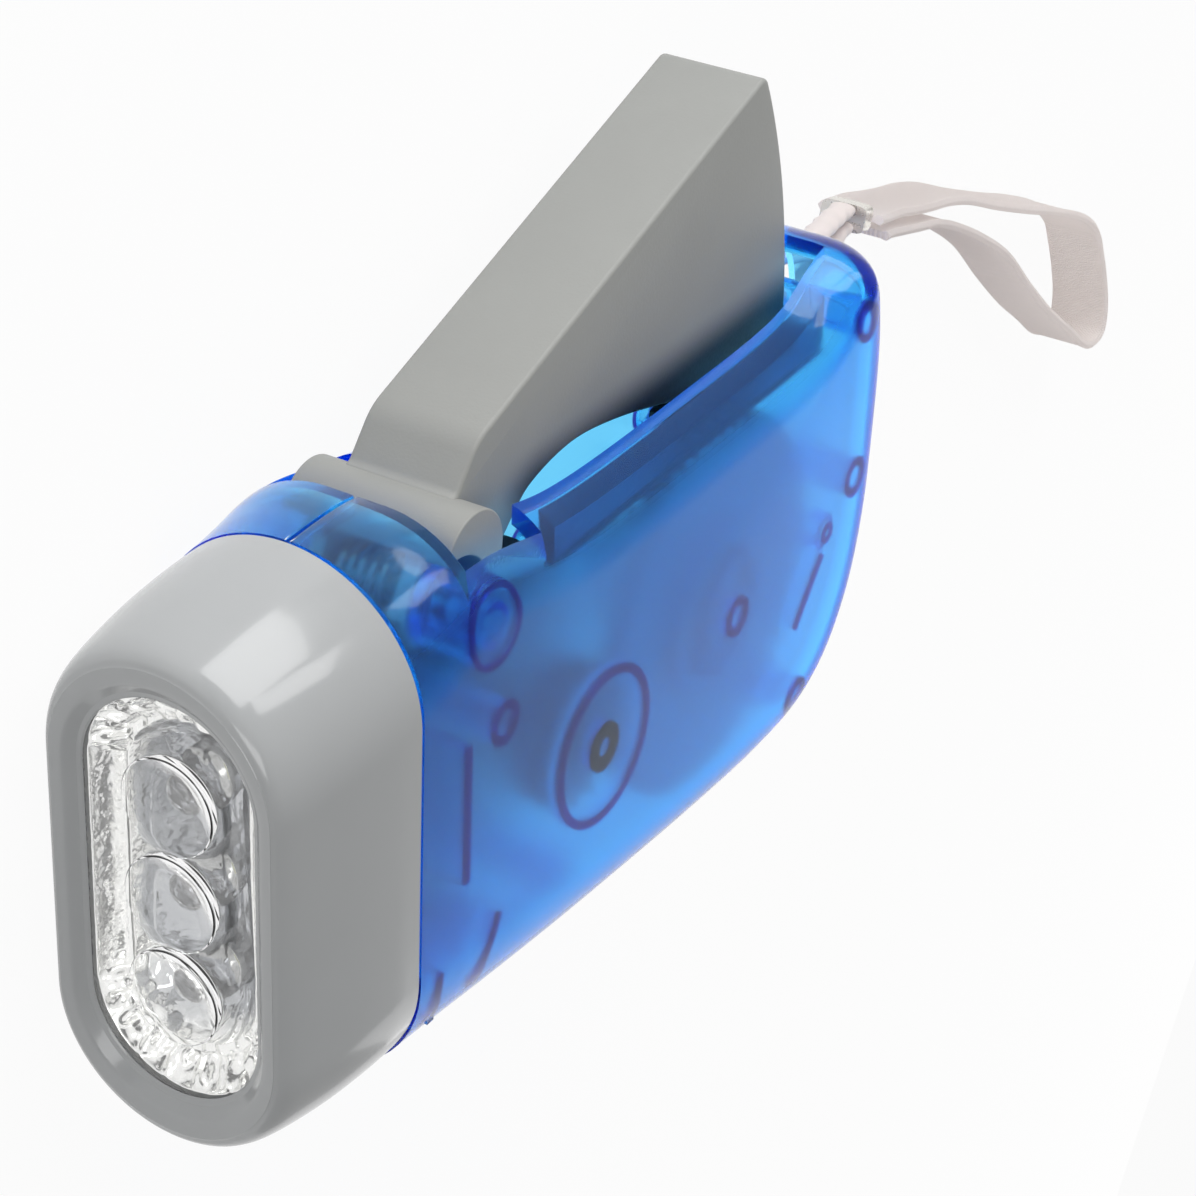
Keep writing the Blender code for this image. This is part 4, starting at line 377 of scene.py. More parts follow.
def case_half(side):
    """Shell of one half, cut by notch, slot, switch recess and strap slot."""
    label = "upper" if side > 0 else "lower"
    half = case_shell(f"case_{label}_shell", side)
    front, back = bar_centre(), bar_centre(20)
    clear, top = 5.4, 28.2
    notch = np.vstack([[(front[0] - clear, top)], arc(front, clear, 180, 224, 10),
                       arc(back, clear, -136, 0, 24), [(back[0] + clear, top)]])
    tools = [
        joined("notch", [slab(notch, -11.0, 11.0)]),
        joined("slot", [block((front[0], LENGTH - 7.9), (13.1, top), (-8.0, 8.0))]),
        joined("recess", [block(*RECESS)]),
        joined("strap_slot", [block((LENGTH - 3.8, LENGTH + 2), (12.0, 20.7), (-1.7, 1.7))])]
    return combine(half, tools, "DIFFERENCE")


def switch_pan(side):
    """Walls and floor of the switch's recess, one half of them."""
    low, high = sorted((side * PARTING, side * 6.1))
    pan = joined("switch_pan", [block((24.5, 52.3), (-25.3, -21.9), (low, high))])
    gap = joined("gap", [block(*RECESS)])
    slot = joined("slot", [block((27.2, 34.5), (-25.0, -20.0), (-1.6, 1.6))])
    return combine(pan, [gap, slot], "DIFFERENCE")


def slot_flange(side):
    """Wall that turns in from the slot's long edge, half of the pair."""
    low, high = sorted((side * 8.1, side * 9.7))
    flange = joined("slot_flange", [block((43.0, 93.5), (14.6, 26.0), (low, high))])
    return combine(flange, [case_core(WALL + 0.04, side)], "INTERSECT")


def neck_ring(side):
    """Half of the ring that the bezel slides over."""
    width, height = HALF_WIDTH - 2.1, HALF_HEIGHT - 2.1
    profile = [(13.1, width, height), (18.3, width, height), (18.3, width + 0.3, height + 0.3),
               (19.4, width + 0.3, height + 0.3), (19.4, width - 1.2, height - 1.2),
               (13.1, width - 1.2, height - 1.2)]
    collar = joined("neck_ring", [obround_ring(profile)])
    keep = joined("keep", [block((0, 40), (-30, 30), sorted((side * PARTING, side * 14)))])
    return combine(collar, [keep], "INTERSECT")


def tube(centre, radius, bore, first, last):
    """Ring of square section round an axis that runs across, between two levels."""
    return turned(centre, [(bore, first), (radius, first), (radius, last), (bore, last)])


def rib(start, finish, width, first, last):
    """Straight wall between two (along, lift) places and two levels across."""
    start, finish = np.array(start), np.array(finish)
    ahead = unit(finish - start)
    aside = np.array([-ahead[1], ahead[0]]) * width / 2
    return slab([start + aside, finish + aside, finish - aside, start - aside], *sorted((first, last)))


def moulded_posts(side):
    """Bosses, screw posts and ribs that stand on the inner wall."""
    end = side * (INNER_SIDE - 0.03)
    cup = [(3.2, end), (3.9, end), (3.9, side * 5.9), (1.35, side * 5.9), (1.35, end), (2.1, end),
           (2.1, side * 6.8), (3.2, side * 6.8)]
    tubes = [(HEAD_POST, 2.0, 1.2, 0.2), (TAIL_POST, 1.9, 1.05, 0.2), (BELLY_POST, 1.9, 1.05, 0.2),
             (CORNER_POST, 2.05, 1.2, 0.2), ((91.8, -3.5), 1.9, 1.1, 9.7)]
    ribs = [((91.8, -5.0), TAIL_RIB_END, 9.7), (*HEAD_RIB, 3.0), (*NECK_RIB, 2.3)]
    if side > 0:
        tubes += [(PINION, 1.95, 0.8, 10.8), (WHEEL, 2.5, 0.85, 10.7), (WHEEL, 8.0, 7.2, 10.7)]
        ribs += [(*BOARD_RIB, 9.7)]
    else:
        tubes += [(PINION, 1.95, 0.8, 3.3), (WHEEL, 4.4, 2.1, 10.7), (WHEEL, 2.05, 0.8, 4.6)]
    parts = [turned(HINGE, cup)]
    parts += [tube(centre, radius, bore, end, side * foot) for centre, radius, bore, foot in tubes]
    parts += [rib(start, finish, 1.0, end, side * foot) for start, finish, foot in ribs]
    return joined("posts_upper" if side > 0 else "posts_lower", parts)


def wall_marks(name, side, parts):
    """Upright prisms trimmed to a thin layer in the wall, just outside its inner face."""
    marks = joined(name, parts)
    combine(marks, [case_core(WALL - 0.42, side)], "INTERSECT")
    return combine(marks, [case_core(WALL - 0.08, side)], "DIFFERENCE")


def post_root_shadows(side):
    """Painted shadow rings and ribs in the wall where the posts stand on it."""
    levels = sorted((side * 6.0, side * 15.0))
    rings = ((HINGE, 3.9, 3.3), (HEAD_POST, 2.2, 1.3), (TAIL_POST, 2.2, 1.3), (BELLY_POST, 2.0, 1.2),
             (CORNER_POST, 2.1, 1.3), ((92.3, -3.9), 1.15, 0.5), (PINION, 2.15, 1.25), (WHEEL, 8.0, 7.1))
    ribs = [((91.6, -6.0), TAIL_RIB_END), HEAD_RIB, NECK_RIB]
    if side > 0:
        ribs.append(BOARD_RIB)
    parts = [tube(*ring, *levels) for ring in rings] + [rib(*ends, 0.9, *levels) for ends in ribs]
    return wall_marks("post_root_shadows", side, parts)


def axle_shadow(side):
    """Painted shadow: a dark ring in the wall over the end of the flywheel's shaft."""
    return wall_marks("axle_shadow", side, [tube(WHEEL, 2.5, 1.0, *sorted((side * 6.0, side * 15.0)))])


# Bezel
def bezel_profile():
    """Flank, lip and tunnel as smooth runs of (along, half width, half height), then the pocket."""
    window = (8.55, 19.4)

    def outside(along, share):
        return (along, HALF_WIDTH - 3.1 * share, HALF_HEIGHT - 4.3 * share)

    flank = smooth([outside(17.8, 0), outside(13.9, 0.02), outside(9.3, 0.10), outside(5.4, 0.23),
                    outside(2.5, 0.37), outside(1.05, 0.50), outside(0.32, 0.65), outside(0.05, 0.80)], 6)
    bead = [(0.0, 11.0), (0.0, 10.75), (0.03, 10.35), (0.10, 9.98), (0.20, 9.78), (0.34, 9.64),
            (1.02, 9.02), (1.10, 8.84), (1.16, 8.68), (1.3, window[0])]
    ring = [(along, width, width + 10.85 + (width - window[0]) * 0.34) for along, width in bead]
    pocket = [(1.3, window[0] + 1.3, window[1] + 1.3), (2.7, window[0] + 1.3, window[1] + 1.3),
              (8.9, 11.7, 24.4), (17.8, 11.7, 24.4)]
    rim = [(17.8, HALF_WIDTH - 0.12, HALF_HEIGHT - 0.12), (17.68, HALF_WIDTH, HALF_HEIGHT)]
    return np.vstack([rim, flank[2:], ring, pocket])


# Lever: reach and heading of its far corner from the hinge, knee of its outer face, radius inside the
# end wall
REACH = 63.5
HEADING = 27.2
KNEE = np.array([HINGE[0] + 7.7, HINGE[1] + 12.3])
CORNER = polar(HINGE, REACH, HEADING)
INNER_REACH = 61.9
LEVER_WEB = 1.8


def lever_top(along):
    """Lift of the lever's outer face: the line from the knee to the corner."""
    return KNEE[1] + (CORNER[1] - KNEE[1]) / (CORNER[0] - KNEE[0]) * (along - KNEE[0])


def lever_body():
    """Channel of two plates, outer face and end wall, all edges rounded, with bar and rack."""
    neck = np.array([HINGE[0] + 4.4, HINGE[1] + 8.4])
    up, face = unit(KNEE - neck), unit(CORNER - KNEE)

    def corner_run(spot, before, after, size, steps=8):
        """A corner as a curve of second degree between points set back along its sides."""
        t = np.linspace(0, 1, steps + 1)[:, None]
        first, last = spot - before * size, spot + after * size
        return first * (1 - t) ** 2 + 2 * spot * t * (1 - t) + last * t ** 2

    drop = math.degrees(math.asin(2.6 / REACH))
    edge_shares = np.array([
        (0.808, -0.020), (0.628, 0.028), (0.514, 0.058), (0.405, 0.078), (0.332, 0.078),
        (0.265, 0.064), (0.231, 0.046), (0.188, 0.008), (0.112, -0.048)])
    plate_edge = smooth(np.vstack([polar(HINGE, REACH, -drop), HINGE + edge_shares * REACH]), 4)[1:]
    end_wall = arc(HINGE, REACH, HEADING - 1.0, -drop, 30)
    down = unit(end_wall[1] - end_wall[0])
    outline = np.vstack([
        arc(bar_centre(), 4.3, 180, 80, 24), corner_run(neck, np.array([0.99, 0.1]), up, 0.5),
        corner_run(KNEE, up, face, 1.5), corner_run(CORNER, face, down, 1.1), end_wall[1:], plate_edge,
        arc(HINGE, 4.4, -50, -180, 20)])
    body = round_edges(joined("lever_body", [slab(outline, -5.6, 5.6)]), 0.55, 4)
    start = HINGE[0] + 9.3
    end = polar(HINGE, INNER_REACH, 25.2)[0]
    under = [(along, lever_top(along) - LEVER_WEB) for along in (start, end)]
    hollow = np.vstack([under, arc(HINGE, INNER_REACH, 24.0, -30, 30),
                        [(HINGE[0], HINGE[1] - 9.6), (HINGE[0] + 4.3, HINGE[1]),
                         (HINGE[0] + 5.4, HINGE[1] + 6.2)]])
    combine(body, [crossbar()], "UNION")
    round_end = 354.4  # the last of 64 corners of a round hole
    combine(body, [joined("hollow", [slab(hollow, -4.0, 4.0)]),
                   joined("eye", [slab(arc(HINGE, 5.2, 0, round_end, 63), -4.0, 4.0)])], "DIFFERENCE")
    combine(body, [joined("rack", [slab(rack_outline(), -2.5, 2.5)])], "UNION")
    bore = joined("bore", [slab(arc(HINGE, 1.31, 0, round_end, 63), -8, 8)])
    return combine(body, [bore], "DIFFERENCE")


def darken_channel(mesh):
    """The second finish, a painted shade, on all faces that lie inside the channel: between the plates,
    under the outer face and short of the end wall."""
    middle = np.zeros(3 * len(mesh.polygons))
    mesh.polygons.foreach_get("center", middle)
    middle = middle.reshape(-1, 3) / MM
    along, lift, across = middle[:, 1] + LENGTH / 2, -middle[:, 0], middle[:, 2] - HALF_WIDTH
    reach = np.hypot(along - HINGE[0], lift - HINGE[1])
    inside = (np.abs(across) < 4.3) & (lift < lever_top(along) - 1.0) & (reach < 62.8) & (reach > 12.0)
    mesh.materials.append(channel_painted_shade)
    mesh.polygons.foreach_set("material_index", inside.astype(np.int32))


def rack_outline():
    """Sector round the hinge whose inner edge has straight-flanked teeth at the module's pitch."""
    module, crest, pitch_line, root, first, last = 0.8, 52.28, 52.8, 53.72, -25.3, -1.5
    pitch = math.degrees(math.pi * module / pitch_line)
    middle = first + np.arange(int((last - first) / pitch) + 1)[:, None] * pitch
    half = np.array([-0.31, -0.23, -0.13, 0.13, 0.23, 0.31]) * pitch
    radius = np.array([crest, pitch_line, root, root, pitch_line, crest])
    teeth = polar(HINGE, np.broadcast_to(radius, (len(middle), 6)), middle + half).reshape(-1, 2)
    top = polar(HINGE, crest, HEADING)[0]
    corner = CORNER[0] - 0.8
    return np.vstack([[polar(HINGE, crest, first - 0.63 * pitch)], teeth,
                      arc(HINGE, crest, last + pitch, 13.6, 8), [(top, lever_top(top) - 0.9)],
                      [(corner, lever_top(corner) - 0.9)], arc(HINGE, 62.7, 23.2, -18.5, 24)])


def crossbar():
    """Round bar over the hinge, hollowed below where it clears the bosses, its ends domed."""
    clear, radius, gap, heading = 5.1, 4.5, BAR_GAP, BAR_HEADING
    rise = (gap ** 2 + clear ** 2 - radius ** 2) / (2 * gap)
    low = math.degrees(math.acos(rise / clear))
    high = math.degrees(math.asin((gap - rise) / radius))
    outline = np.vstack([arc(HINGE, clear, heading + low, heading - low, 16),
                         arc(bar_centre(), radius, heading - 90 - high, heading + 90 + high, 60)[1:-1]])
    return round_edges(joined("bar", [slab(outline, -8.5, 8.5)]), 1.0, 5)


# Window, reflector and lamps
LAMP_LIFTS = (9.5, 0.0, -9.5)


def window_pane():
    """Pane with three lens discs through it, flat in front and domed as a sphere behind."""
    front, back, proud, disc, crown = 1.35, 2.55, 0.3, 4.6, 0.9
    pane = joined("window_pane", [obround_solid(front, back, 9.65, 20.5)])
    sphere = (disc ** 2 + crown ** 2) / (2 * crown)
    radius = np.linspace(disc, 0, 20)
    dome = back + crown - sphere + np.sqrt(sphere ** 2 - radius ** 2)
    face = front - proud
    profile = [(0, face), (disc - 0.14, face), (disc - 0.04, face + 0.08), (disc, face + 0.25),
               *zip(radius, dome)]
    discs = [joined("disc", [turned_along(lift, profile)]) for lift in LAMP_LIFTS]
    return combine(pane, discs, "UNION")


def obround_solid(front, back, width, height, sides=48):
    """A plate with an obround outline, its edges broken by a tenth of a millimetre."""
    rows = [place(along, *obround(w, h, sides)) for along, w, h in (
        (front, width - 0.1, height - 0.1), (front + 0.1, width, height),
        (back - 0.1, width, height), (back, width - 0.1, height - 0.1))]
    return np.array(rows), capped(4, rows[0].shape[0])


def reflector_skin():
    """Depth over an obround: a flat rim, a fluted side wall, then three bowls that run into each other.

    The flutes are cosines of the way round. Each bowl is a paraboloid down to its neck, and small
    waves of two sizes dent all of it, least in the bowls."""
    rows, sides = 150, 150
    half_width, half_height, rim, rim_depth, neck_depth = 9.6, 20.4, 0.95, 2.66, 10.4
    shrink = np.linspace(0, 1, rows)[:, None]
    rings = [obround(half_width * (1 - share) + 0.001, half_height - half_width * share, sides)
             for share in shrink[:, 0]]
    lift, across = np.array(rings).transpose(1, 0, 2)
    way = np.linspace(0, 2 * np.pi, lift.shape[1], endpoint=False)[None, :]
    wall = np.clip((half_width * shrink - rim) / 2.6, 0, 1)
    flutes = 0.50 * np.cos(16 * way) + 0.22 * np.cos(37 * way + 9 * shrink)
    depth = rim_depth + 2.3 * wall ** 0.75 + flutes * np.sin(np.pi * wall) ** 0.7
    calm = np.ones_like(depth)
    for centre in LAMP_LIFTS:
        reach = np.hypot(lift - centre, across)
        bowl = 8.8 - (reach ** 2 - 2.65 ** 2) / 7.6
        depth = np.maximum(depth, np.where(reach < 6.3, bowl, 0))
        depth = np.where(reach < 2.7, neck_depth, depth)
        calm[reach < 4.6] = 0.35
    dents = (0.20 * np.sin(1.9 * lift + 1.3 * across) * np.sin(1.1 * lift - 2.3 * across)
             + 0.10 * np.sin(3.7 * lift + 0.7 * across + 1.0) * np.sin(2.9 * across + 0.5 * lift))
    depth = depth + dents * np.clip(wall * 4, 0, 1) * calm
    faces = quads(rows, lift.shape[1], False, True)
    skin = raw_piece("reflector_skin", place(depth, lift, across), faces)
    thick = skin.modifiers.new("thick", "SOLIDIFY")
    thick.thickness = 0.5 * MM
    thick.offset = -1
    return skin


def lamp_body(lift):
    """Five millimetre lamp: dome, straight body and flange."""
    angle = np.linspace(0, np.pi / 2, 14)
    dome = [(2.5 * math.cos(a), 6.35 - 2.5 * math.sin(a)) for a in angle[:-1]] + [(0, 3.85)]
    return turned_along(lift, [(0, 12.35), (2.9, 12.35), (2.9, 11.45), (2.5, 11.35)] + dome, 48)


def lamp_frame(lift):
    """Lead frame inside a lamp: post with its cup, and the anvil."""
    cup = turned_along(lift, [(0, 8.0), (1.15, 8.0), (1.15, 7.2), (0.85, 7.2), (0.45, 7.65), (0, 7.65)],
                       24, across=0.35)
    post = block((8.0, 12.2), (lift - 0.35, lift + 0.35), (0.0, 0.7))
    anvil = block((7.0, 12.2), (lift - 0.45, lift + 0.45), (-1.5, -0.9))
    return [cup, post, anvil]


def lamp_die(lift):
    """Drop of yellow phosphor that fills the cup."""
    return turned_along(lift, [(0, 7.63), (0.4, 7.6), (0.45, 7.5), (0.3, 7.42), (0, 7.40)],
                        20, across=0.35)


# Strap
def along_route(route):
    """Unit tangent, and the unit side that lies level, at each point of a route."""
    ahead = unit(np.gradient(route, axis=0))
    return ahead, unit(np.stack([-ahead[:, 1], ahead[:, 0], np.zeros(len(ahead))], -1))


def distances(route):
    """Distance along a route at each of its points."""
    return np.concatenate([[0], np.cumsum(np.linalg.norm(np.diff(route, axis=0), axis=1))])


def strand(name, points, radius, sides=20, steps=8, lay=1.4, depth=0.06, spread=1.75):
    """A flat twisted cord: an oval whose radius ripples with the angle plus the twist so far."""
    route = smooth(place(*np.array(points).T), steps)
    ahead, side = along_route(route)
    up = np.cross(ahead, side)
    length = distances(route) / MM
    turn = np.linspace(0, 2 * np.pi, sides, endpoint=False)[None, :]
    ripple = radius * (1 - depth + depth * np.cos(3 * turn + 2 * np.pi * length[:, None] / lay / 3))
    ring = (np.cos(turn)[..., None] * side[:, None, :] + np.sin(turn)[..., None] * up[:, None, :] * spread)
    points = route[:, None, :] + ring * ripple[..., None] * MM
    return raw_piece(name, points, capped(len(route), sides)), route


def ribbon(name, points, width, thickness, steps=10, columns=24):
    """Flat webbing on its edge: a lens-shaped section with a beaded selvedge at both edges."""
    route = smooth(place(*np.array(points).T), steps)
    _, side = along_route(route)
    share = np.linspace(-1, 1, columns)
    half = thickness / 2 * (0.72 + 0.28 * np.exp(-((np.abs(share) - 0.9) / 0.09) ** 2))
    half = half * np.sqrt(np.clip(1.02 - share ** 24, 0.02, 1))
    level = share * width / 2
    around = np.concatenate([np.stack([level, half], -1), np.stack([level[::-1], -half[::-1]], -1)])
    points = (route[:, None, :] + side[:, None, :] * around[None, :, 1, None] * MM
              + np.array([0, 0, 1]) * around[None, :, 0, None] * MM)
    rows, ring = len(route), len(around)
    piece = raw_piece(name, points, capped(rows, ring))
    length = distances(route) / MM
    lay = piece.data.uv_layers.new(name="weave")
    index = np.zeros(len(piece.data.loops), np.int32)
    piece.data.loops.foreach_get("vertex_index", index)
    uv = np.stack([around[index % ring, 0], length[np.minimum(index // ring, rows - 1)]], -1)
    lay.data.foreach_set("uv", uv.astype(np.float32).ravel())
    return piece, route


def wire(name, points, radius, sides=12):
    """Round wire through a row of points that runs mostly across the case or along it."""
    points = np.array(points)
    ahead = unit(np.gradient(points, axis=0))
    aside = unit(np.cross(ahead, (0.0, 0.0, 1.0)))
    upward = np.cross(aside, ahead)
    turn = np.linspace(0, 2 * np.pi, sides, endpoint=False)[None, :, None]
    ring = np.cos(turn) * aside[:, None, :] + np.sin(turn) * upward[:, None, :]
    rows = points[:, None, :] + radius * ring
    return raw_piece(name, place(rows[..., 0], rows[..., 1], rows[..., 2]), capped(len(points), sides))


def spring_coil():
    """Nearly five turns of wire round the hinge's pin, with the leg that bears on its post."""
    share = np.linspace(0, 1, 240)
    around = polar(HINGE, 3.0, 6.0 + 1749.0 * share)
    coil = np.column_stack([around, SPRING_HALF_WIDTH * (2 * share - 1)])
    return wire("spring_coil", np.vstack([[(34.4, 4.8, -SPRING_HALF_WIDTH)], coil]), SPRING_WIRE)


def spring_arm():
    """Leg of the spring under the lever's face: it goes round with the lever."""
    places = ((32.33, 13.98), (40.0, 21.65), (47.25, 28.85))
    route = [(along, lift, SPRING_HALF_WIDTH) for along, lift in places]
    return wire("spring_arm", route, SPRING_WIRE)


def crimp_clip():
    """Clip of folded sheet: a rounded box section that pinches in the middle and flares at its ends."""
    rows, sides, squareness, half_width, half_height = 24, 48, 0.35, 1.5, 2.7
    start, end = (place(*point) for point in CRIMP)
    up = np.array([0, 0, 1.0])
    side = unit(np.cross(unit(end - start), up))
    share = np.linspace(0.03, 0.97, rows)
    angle = np.linspace(0, 2 * np.pi, sides, endpoint=False)
    level = np.sign(np.sin(angle)) * np.abs(np.sin(angle)) ** squareness
    out = np.sign(np.cos(angle)) * np.abs(np.cos(angle)) ** squareness
    waist = (1 - 0.10 * np.sin(np.pi * share))[:, None, None] * MM
    centre = start + (end - start) * share[:, None]
    points = (centre[:, None, :] + side * out[None, :, None] * half_width * waist
              + up * level[None, :, None] * half_height * waist)
    return raw_piece("crimp_clip", points, capped(rows, sides))


# Finishes
def linear(hexa):
    """sRGB hex to linear red, green, blue and one."""
    value = np.array([int(hexa[i:i + 2], 16) for i in (1, 3, 5)]) / 255
    value = np.where(value <= 0.04045, value / 12.92, ((value + 0.055) / 1.055) ** 2.4)
    return (*value.tolist(), 1.0)


def add(tree, kind, inputs=None, **settings):
    """Add a node, set its fields, and set or link its sockets: a node stands for its first output."""
    node = tree.nodes.new("ShaderNode" + kind)
    for name, value in settings.items():
        setattr(node, name, value)
    for name, value in (inputs or {}).items():
        if isinstance(value, bpy.types.Node):
            value = value.outputs[0]
        if isinstance(value, bpy.types.NodeSocket):
            tree.links.new(value, node.inputs[name])
        else:
            node.inputs[name].default_value = value
    return node


def new_finish(name):
    finish = bpy.data.materials.new(name)
    finish.use_nodes = True
    finish.node_tree.nodes.clear()
    return finish, finish.node_tree


def moulded(name, colour, roughness, grain_mm, grain_depth, mottle=0.05, inputs=None, painted_shade=None):
    """Plastic or metal with a fine grain and a faint mottle of its own colour, darkened by place where a
    painted shade is given.
    """
    finish, tree = new_finish(name)
    spot = add(tree, "TexCoord").outputs["Object"]
    grain = add(tree, "TexNoise", {"Vector": spot, "Scale": 1 / (grain_mm * MM), "Detail": 2.0})
    patch = add(tree, "TexNoise", {"Vector": spot, "Scale": 1 / (6 * MM), "Detail": 3.0})
    base = np.array(linear(colour))
    ramp = add(tree, "Mix", {0: patch, 6: (*(base[:3] * (1 - mottle)), 1),
                             7: (*(base[:3] * (1 + mottle)), 1)}, data_type="RGBA")
    rough = add(tree, "MapRange", {"Value": grain, "To Min": roughness * 0.88,
                                   "To Max": roughness * 1.12})
    bump = add(tree, "Bump", {"Height": grain, "Strength": 1.0, "Distance": grain_depth * MM})
    tone = ramp.outputs[2]
    # Painted shade: the colour mixed towards a dark tone by smooth ramps over places on the piece
    if painted_shade:
        axes = add(tree, "SeparateXYZ", {0: spot})
        share = 1.0
        for axis, start, end in painted_shade[1:]:
            ramp = add(tree, "MapRange", {"Value": axes.outputs[axis], "From Min": start * MM,
                                          "From Max": end * MM}, interpolation_type="SMOOTHSTEP")
            share = add(tree, "Math", {0: ramp, 1: share}, operation="MULTIPLY").outputs[0]
        tone = add(tree, "Mix", {0: share, 6: tone, 7: linear(painted_shade[0])}, data_type="RGBA").outputs[2]
    sockets = {"Base Color": tone, "Roughness": rough, "Normal": bump}
    sockets.update(inputs or {})
    surface = add(tree, "BsdfPrincipled", sockets)
    add(tree, "OutputMaterial", {"Surface": surface})
    return finish


def translucent(name, haze, share, shade, dye, density, side_rough, round_rough):
    """Tinted clear plastic: satin on the flat sides, polished on the rounds, deeper where it is thick.

    A share of the light scatters in the skin as a haze of its own colour. Lamps reach the inside
    through a tinted shadow, as light does through the real wall."""
    finish, tree = new_finish(name)
    coordinates = add(tree, "TexCoord")
    spot = coordinates.outputs["Object"]
    normal = add(tree, "SeparateXYZ", {0: coordinates.outputs["Normal"]})
    upright = add(tree, "Math", {0: normal.outputs[2]}, operation="ABSOLUTE")
    flat = add(tree, "MapRange", {"Value": upright, "From Min": 0.80, "From Max": 0.99},
               interpolation_type="SMOOTHSTEP")
    grain = add(tree, "TexNoise", {"Vector": spot, "Scale": 1 / (0.35 * MM), "Detail": 2.0})
    rough, polish, coat = (add(tree, "MapRange", {"Value": flat, "To Min": on_rounds, "To Max": on_flats})
                           for on_rounds, on_flats in ((round_rough, side_rough), (0.04, 0.22), (0.5, 0.05)))
    height = add(tree, "Math", {0: grain, 1: flat}, operation="MULTIPLY")
    bump = add(tree, "Bump", {"Height": height, "Strength": 1.0, "Distance": 0.01 * MM})
    wall = add(tree, "BsdfPrincipled", {
        "Base Color": (1, 1, 1, 1), "Roughness": rough, "IOR": 1.27, "Transmission Weight": 1.0,
        "Coat Weight": coat, "Coat Roughness": polish, "Normal": bump})
    back = add(tree, "BsdfDiffuse", {"Color": linear(haze)})
    ahead = add(tree, "BsdfTranslucent", {"Color": linear(haze)})
    scatter = add(tree, "MixShader", {0: 0.5, 1: back, 2: ahead})
    surface = add(tree, "MixShader", {0: share, 1: wall, 2: scatter})
    through = add(tree, "BsdfTransparent", {"Color": linear(shade)})
    path = add(tree, "LightPath")
    both = add(tree, "MixShader", {0: path.outputs["Is Shadow Ray"], 1: surface, 2: through})
    depth = add(tree, "VolumeAbsorption", {"Color": (*dye, 1.0), "Density": density})
    add(tree, "OutputMaterial", {"Surface": both, "Volume": depth})
    return finish


def post_root(name, tint, colour, share):
    """Painted shadow in the wall over a post: light goes straight through a tint, with a share of a darker
    shadow colour.
    """
    finish, tree = new_finish(name)
    spot = add(tree, "TexCoord").outputs["Object"]
    patch = add(tree, "TexNoise", {"Vector": spot, "Scale": 1 / (1.5 * MM), "Detail": 2.0})
    part = add(tree, "MapRange", {"Value": patch, "To Min": share * 0.6, "To Max": share * 1.4})
    through = add(tree, "BsdfTransparent", {"Color": linear(tint)})
    own = add(tree, "BsdfDiffuse", {"Color": linear(colour)})
    both = add(tree, "MixShader", {0: part.outputs[0], 1: through, 2: own})
    add(tree, "OutputMaterial", {"Surface": both})
    return finish


def woven(name, colour, thread_mm):
    """Plain nylon weave on the piece's own map, threads crossing at the given spacing."""
    finish, tree = new_finish(name)
    spot = add(tree, "UVMap", uv_map="weave").outputs[0]
    part = add(tree, "SeparateXYZ", {0: spot})
    waves = []
    for axis, pitch in ((0, thread_mm), (1, thread_mm * 0.8)):
        turn = add(tree, "Math", {0: part.outputs[axis], 1: 2 * math.pi / pitch}, operation="MULTIPLY")
        waves.append(add(tree, "Math", {0: turn}, operation="SINE"))
    weave = add(tree, "Math", {0: waves[0], 1: waves[1]}, operation="MULTIPLY")
    fuzz = add(tree, "TexNoise", {"Vector": spot, "Scale": 2.2, "Detail": 5.0})
    base = np.array(linear(colour))
    tone = add(tree, "MapRange", {"Value": weave, "From Min": -1.0})
    mixed = add(tree, "Mix", {0: tone, 6: (*(base[:3] * 0.90), 1),
                              7: (*np.minimum(base[:3] * 1.05, 1), 1)}, data_type="RGBA")
    patch = add(tree, "Mix", {0: fuzz, 6: mixed.outputs[2], 7: linear("#FAF4F2")}, data_type="RGBA")
    bump = add(tree, "Bump", {"Height": weave, "Strength": 0.8, "Distance": 0.10 * MM})
    cloth = add(tree, "BsdfPrincipled", {
        "Base Color": patch.outputs[2], "Roughness": 0.78, "Sheen Weight": 0.35, "Sheen Roughness": 0.4,
        "Normal": bump})
    back = add(tree, "BsdfTranslucent", {"Color": patch.outputs[2], "Normal": bump})
    surface = add(tree, "MixShader", {0: 0.5, 1: cloth, 2: back})
    add(tree, "OutputMaterial", {"Surface": surface})
    return finish


def clear_plastic(name, roughness=0.02, tint="#FFFFFF", ior=1.49, clear=1.0, wave_mm=2.5, depth=0.02):
    """Clear acrylic or epoxy: lamps pass it as a nearly clear shadow."""
    finish, tree = new_finish(name)
    spot = add(tree, "TexCoord").outputs["Object"]
    wave = add(tree, "TexNoise", {"Vector": spot, "Scale": 1 / (wave_mm * MM), "Detail": 1.0})
    bump = add(tree, "Bump", {"Height": wave, "Strength": 1.0, "Distance": depth * MM})
    surface = add(tree, "BsdfPrincipled", {
        "Base Color": linear(tint), "Roughness": roughness, "IOR": ior, "Transmission Weight": clear,
        "Normal": bump})
    through = add(tree, "BsdfTransparent", {"Color": linear("#F4F4F4")})
    path = add(tree, "LightPath")
    both = add(tree, "MixShader", {0: path.outputs["Is Shadow Ray"], 1: surface, 2: through})
    add(tree, "OutputMaterial", {"Surface": both})
    return finish


# Clear blue styrene: a satin side that blurs what lies behind, glossy rounds, deeper where it is thick
blue = translucent("clear_blue_styrene_moulded", "#2C8CFF", 0.035, "#94BCF8", (0.0, 0.77, 0.995), 700.0,
                   0.33, 0.17)
# The same plastic where light crosses a wall edgewise, made dark navy beyond that by painted shade: denser
# dye, darker haze and shadow
navy_shade = translucent("clear_blue_styrene_painted_shade", "#0E3A96", 0.08, "#7A98DC", (0.0, 0.50, 0.66), 1500.0,
                   0.25, 0.20)
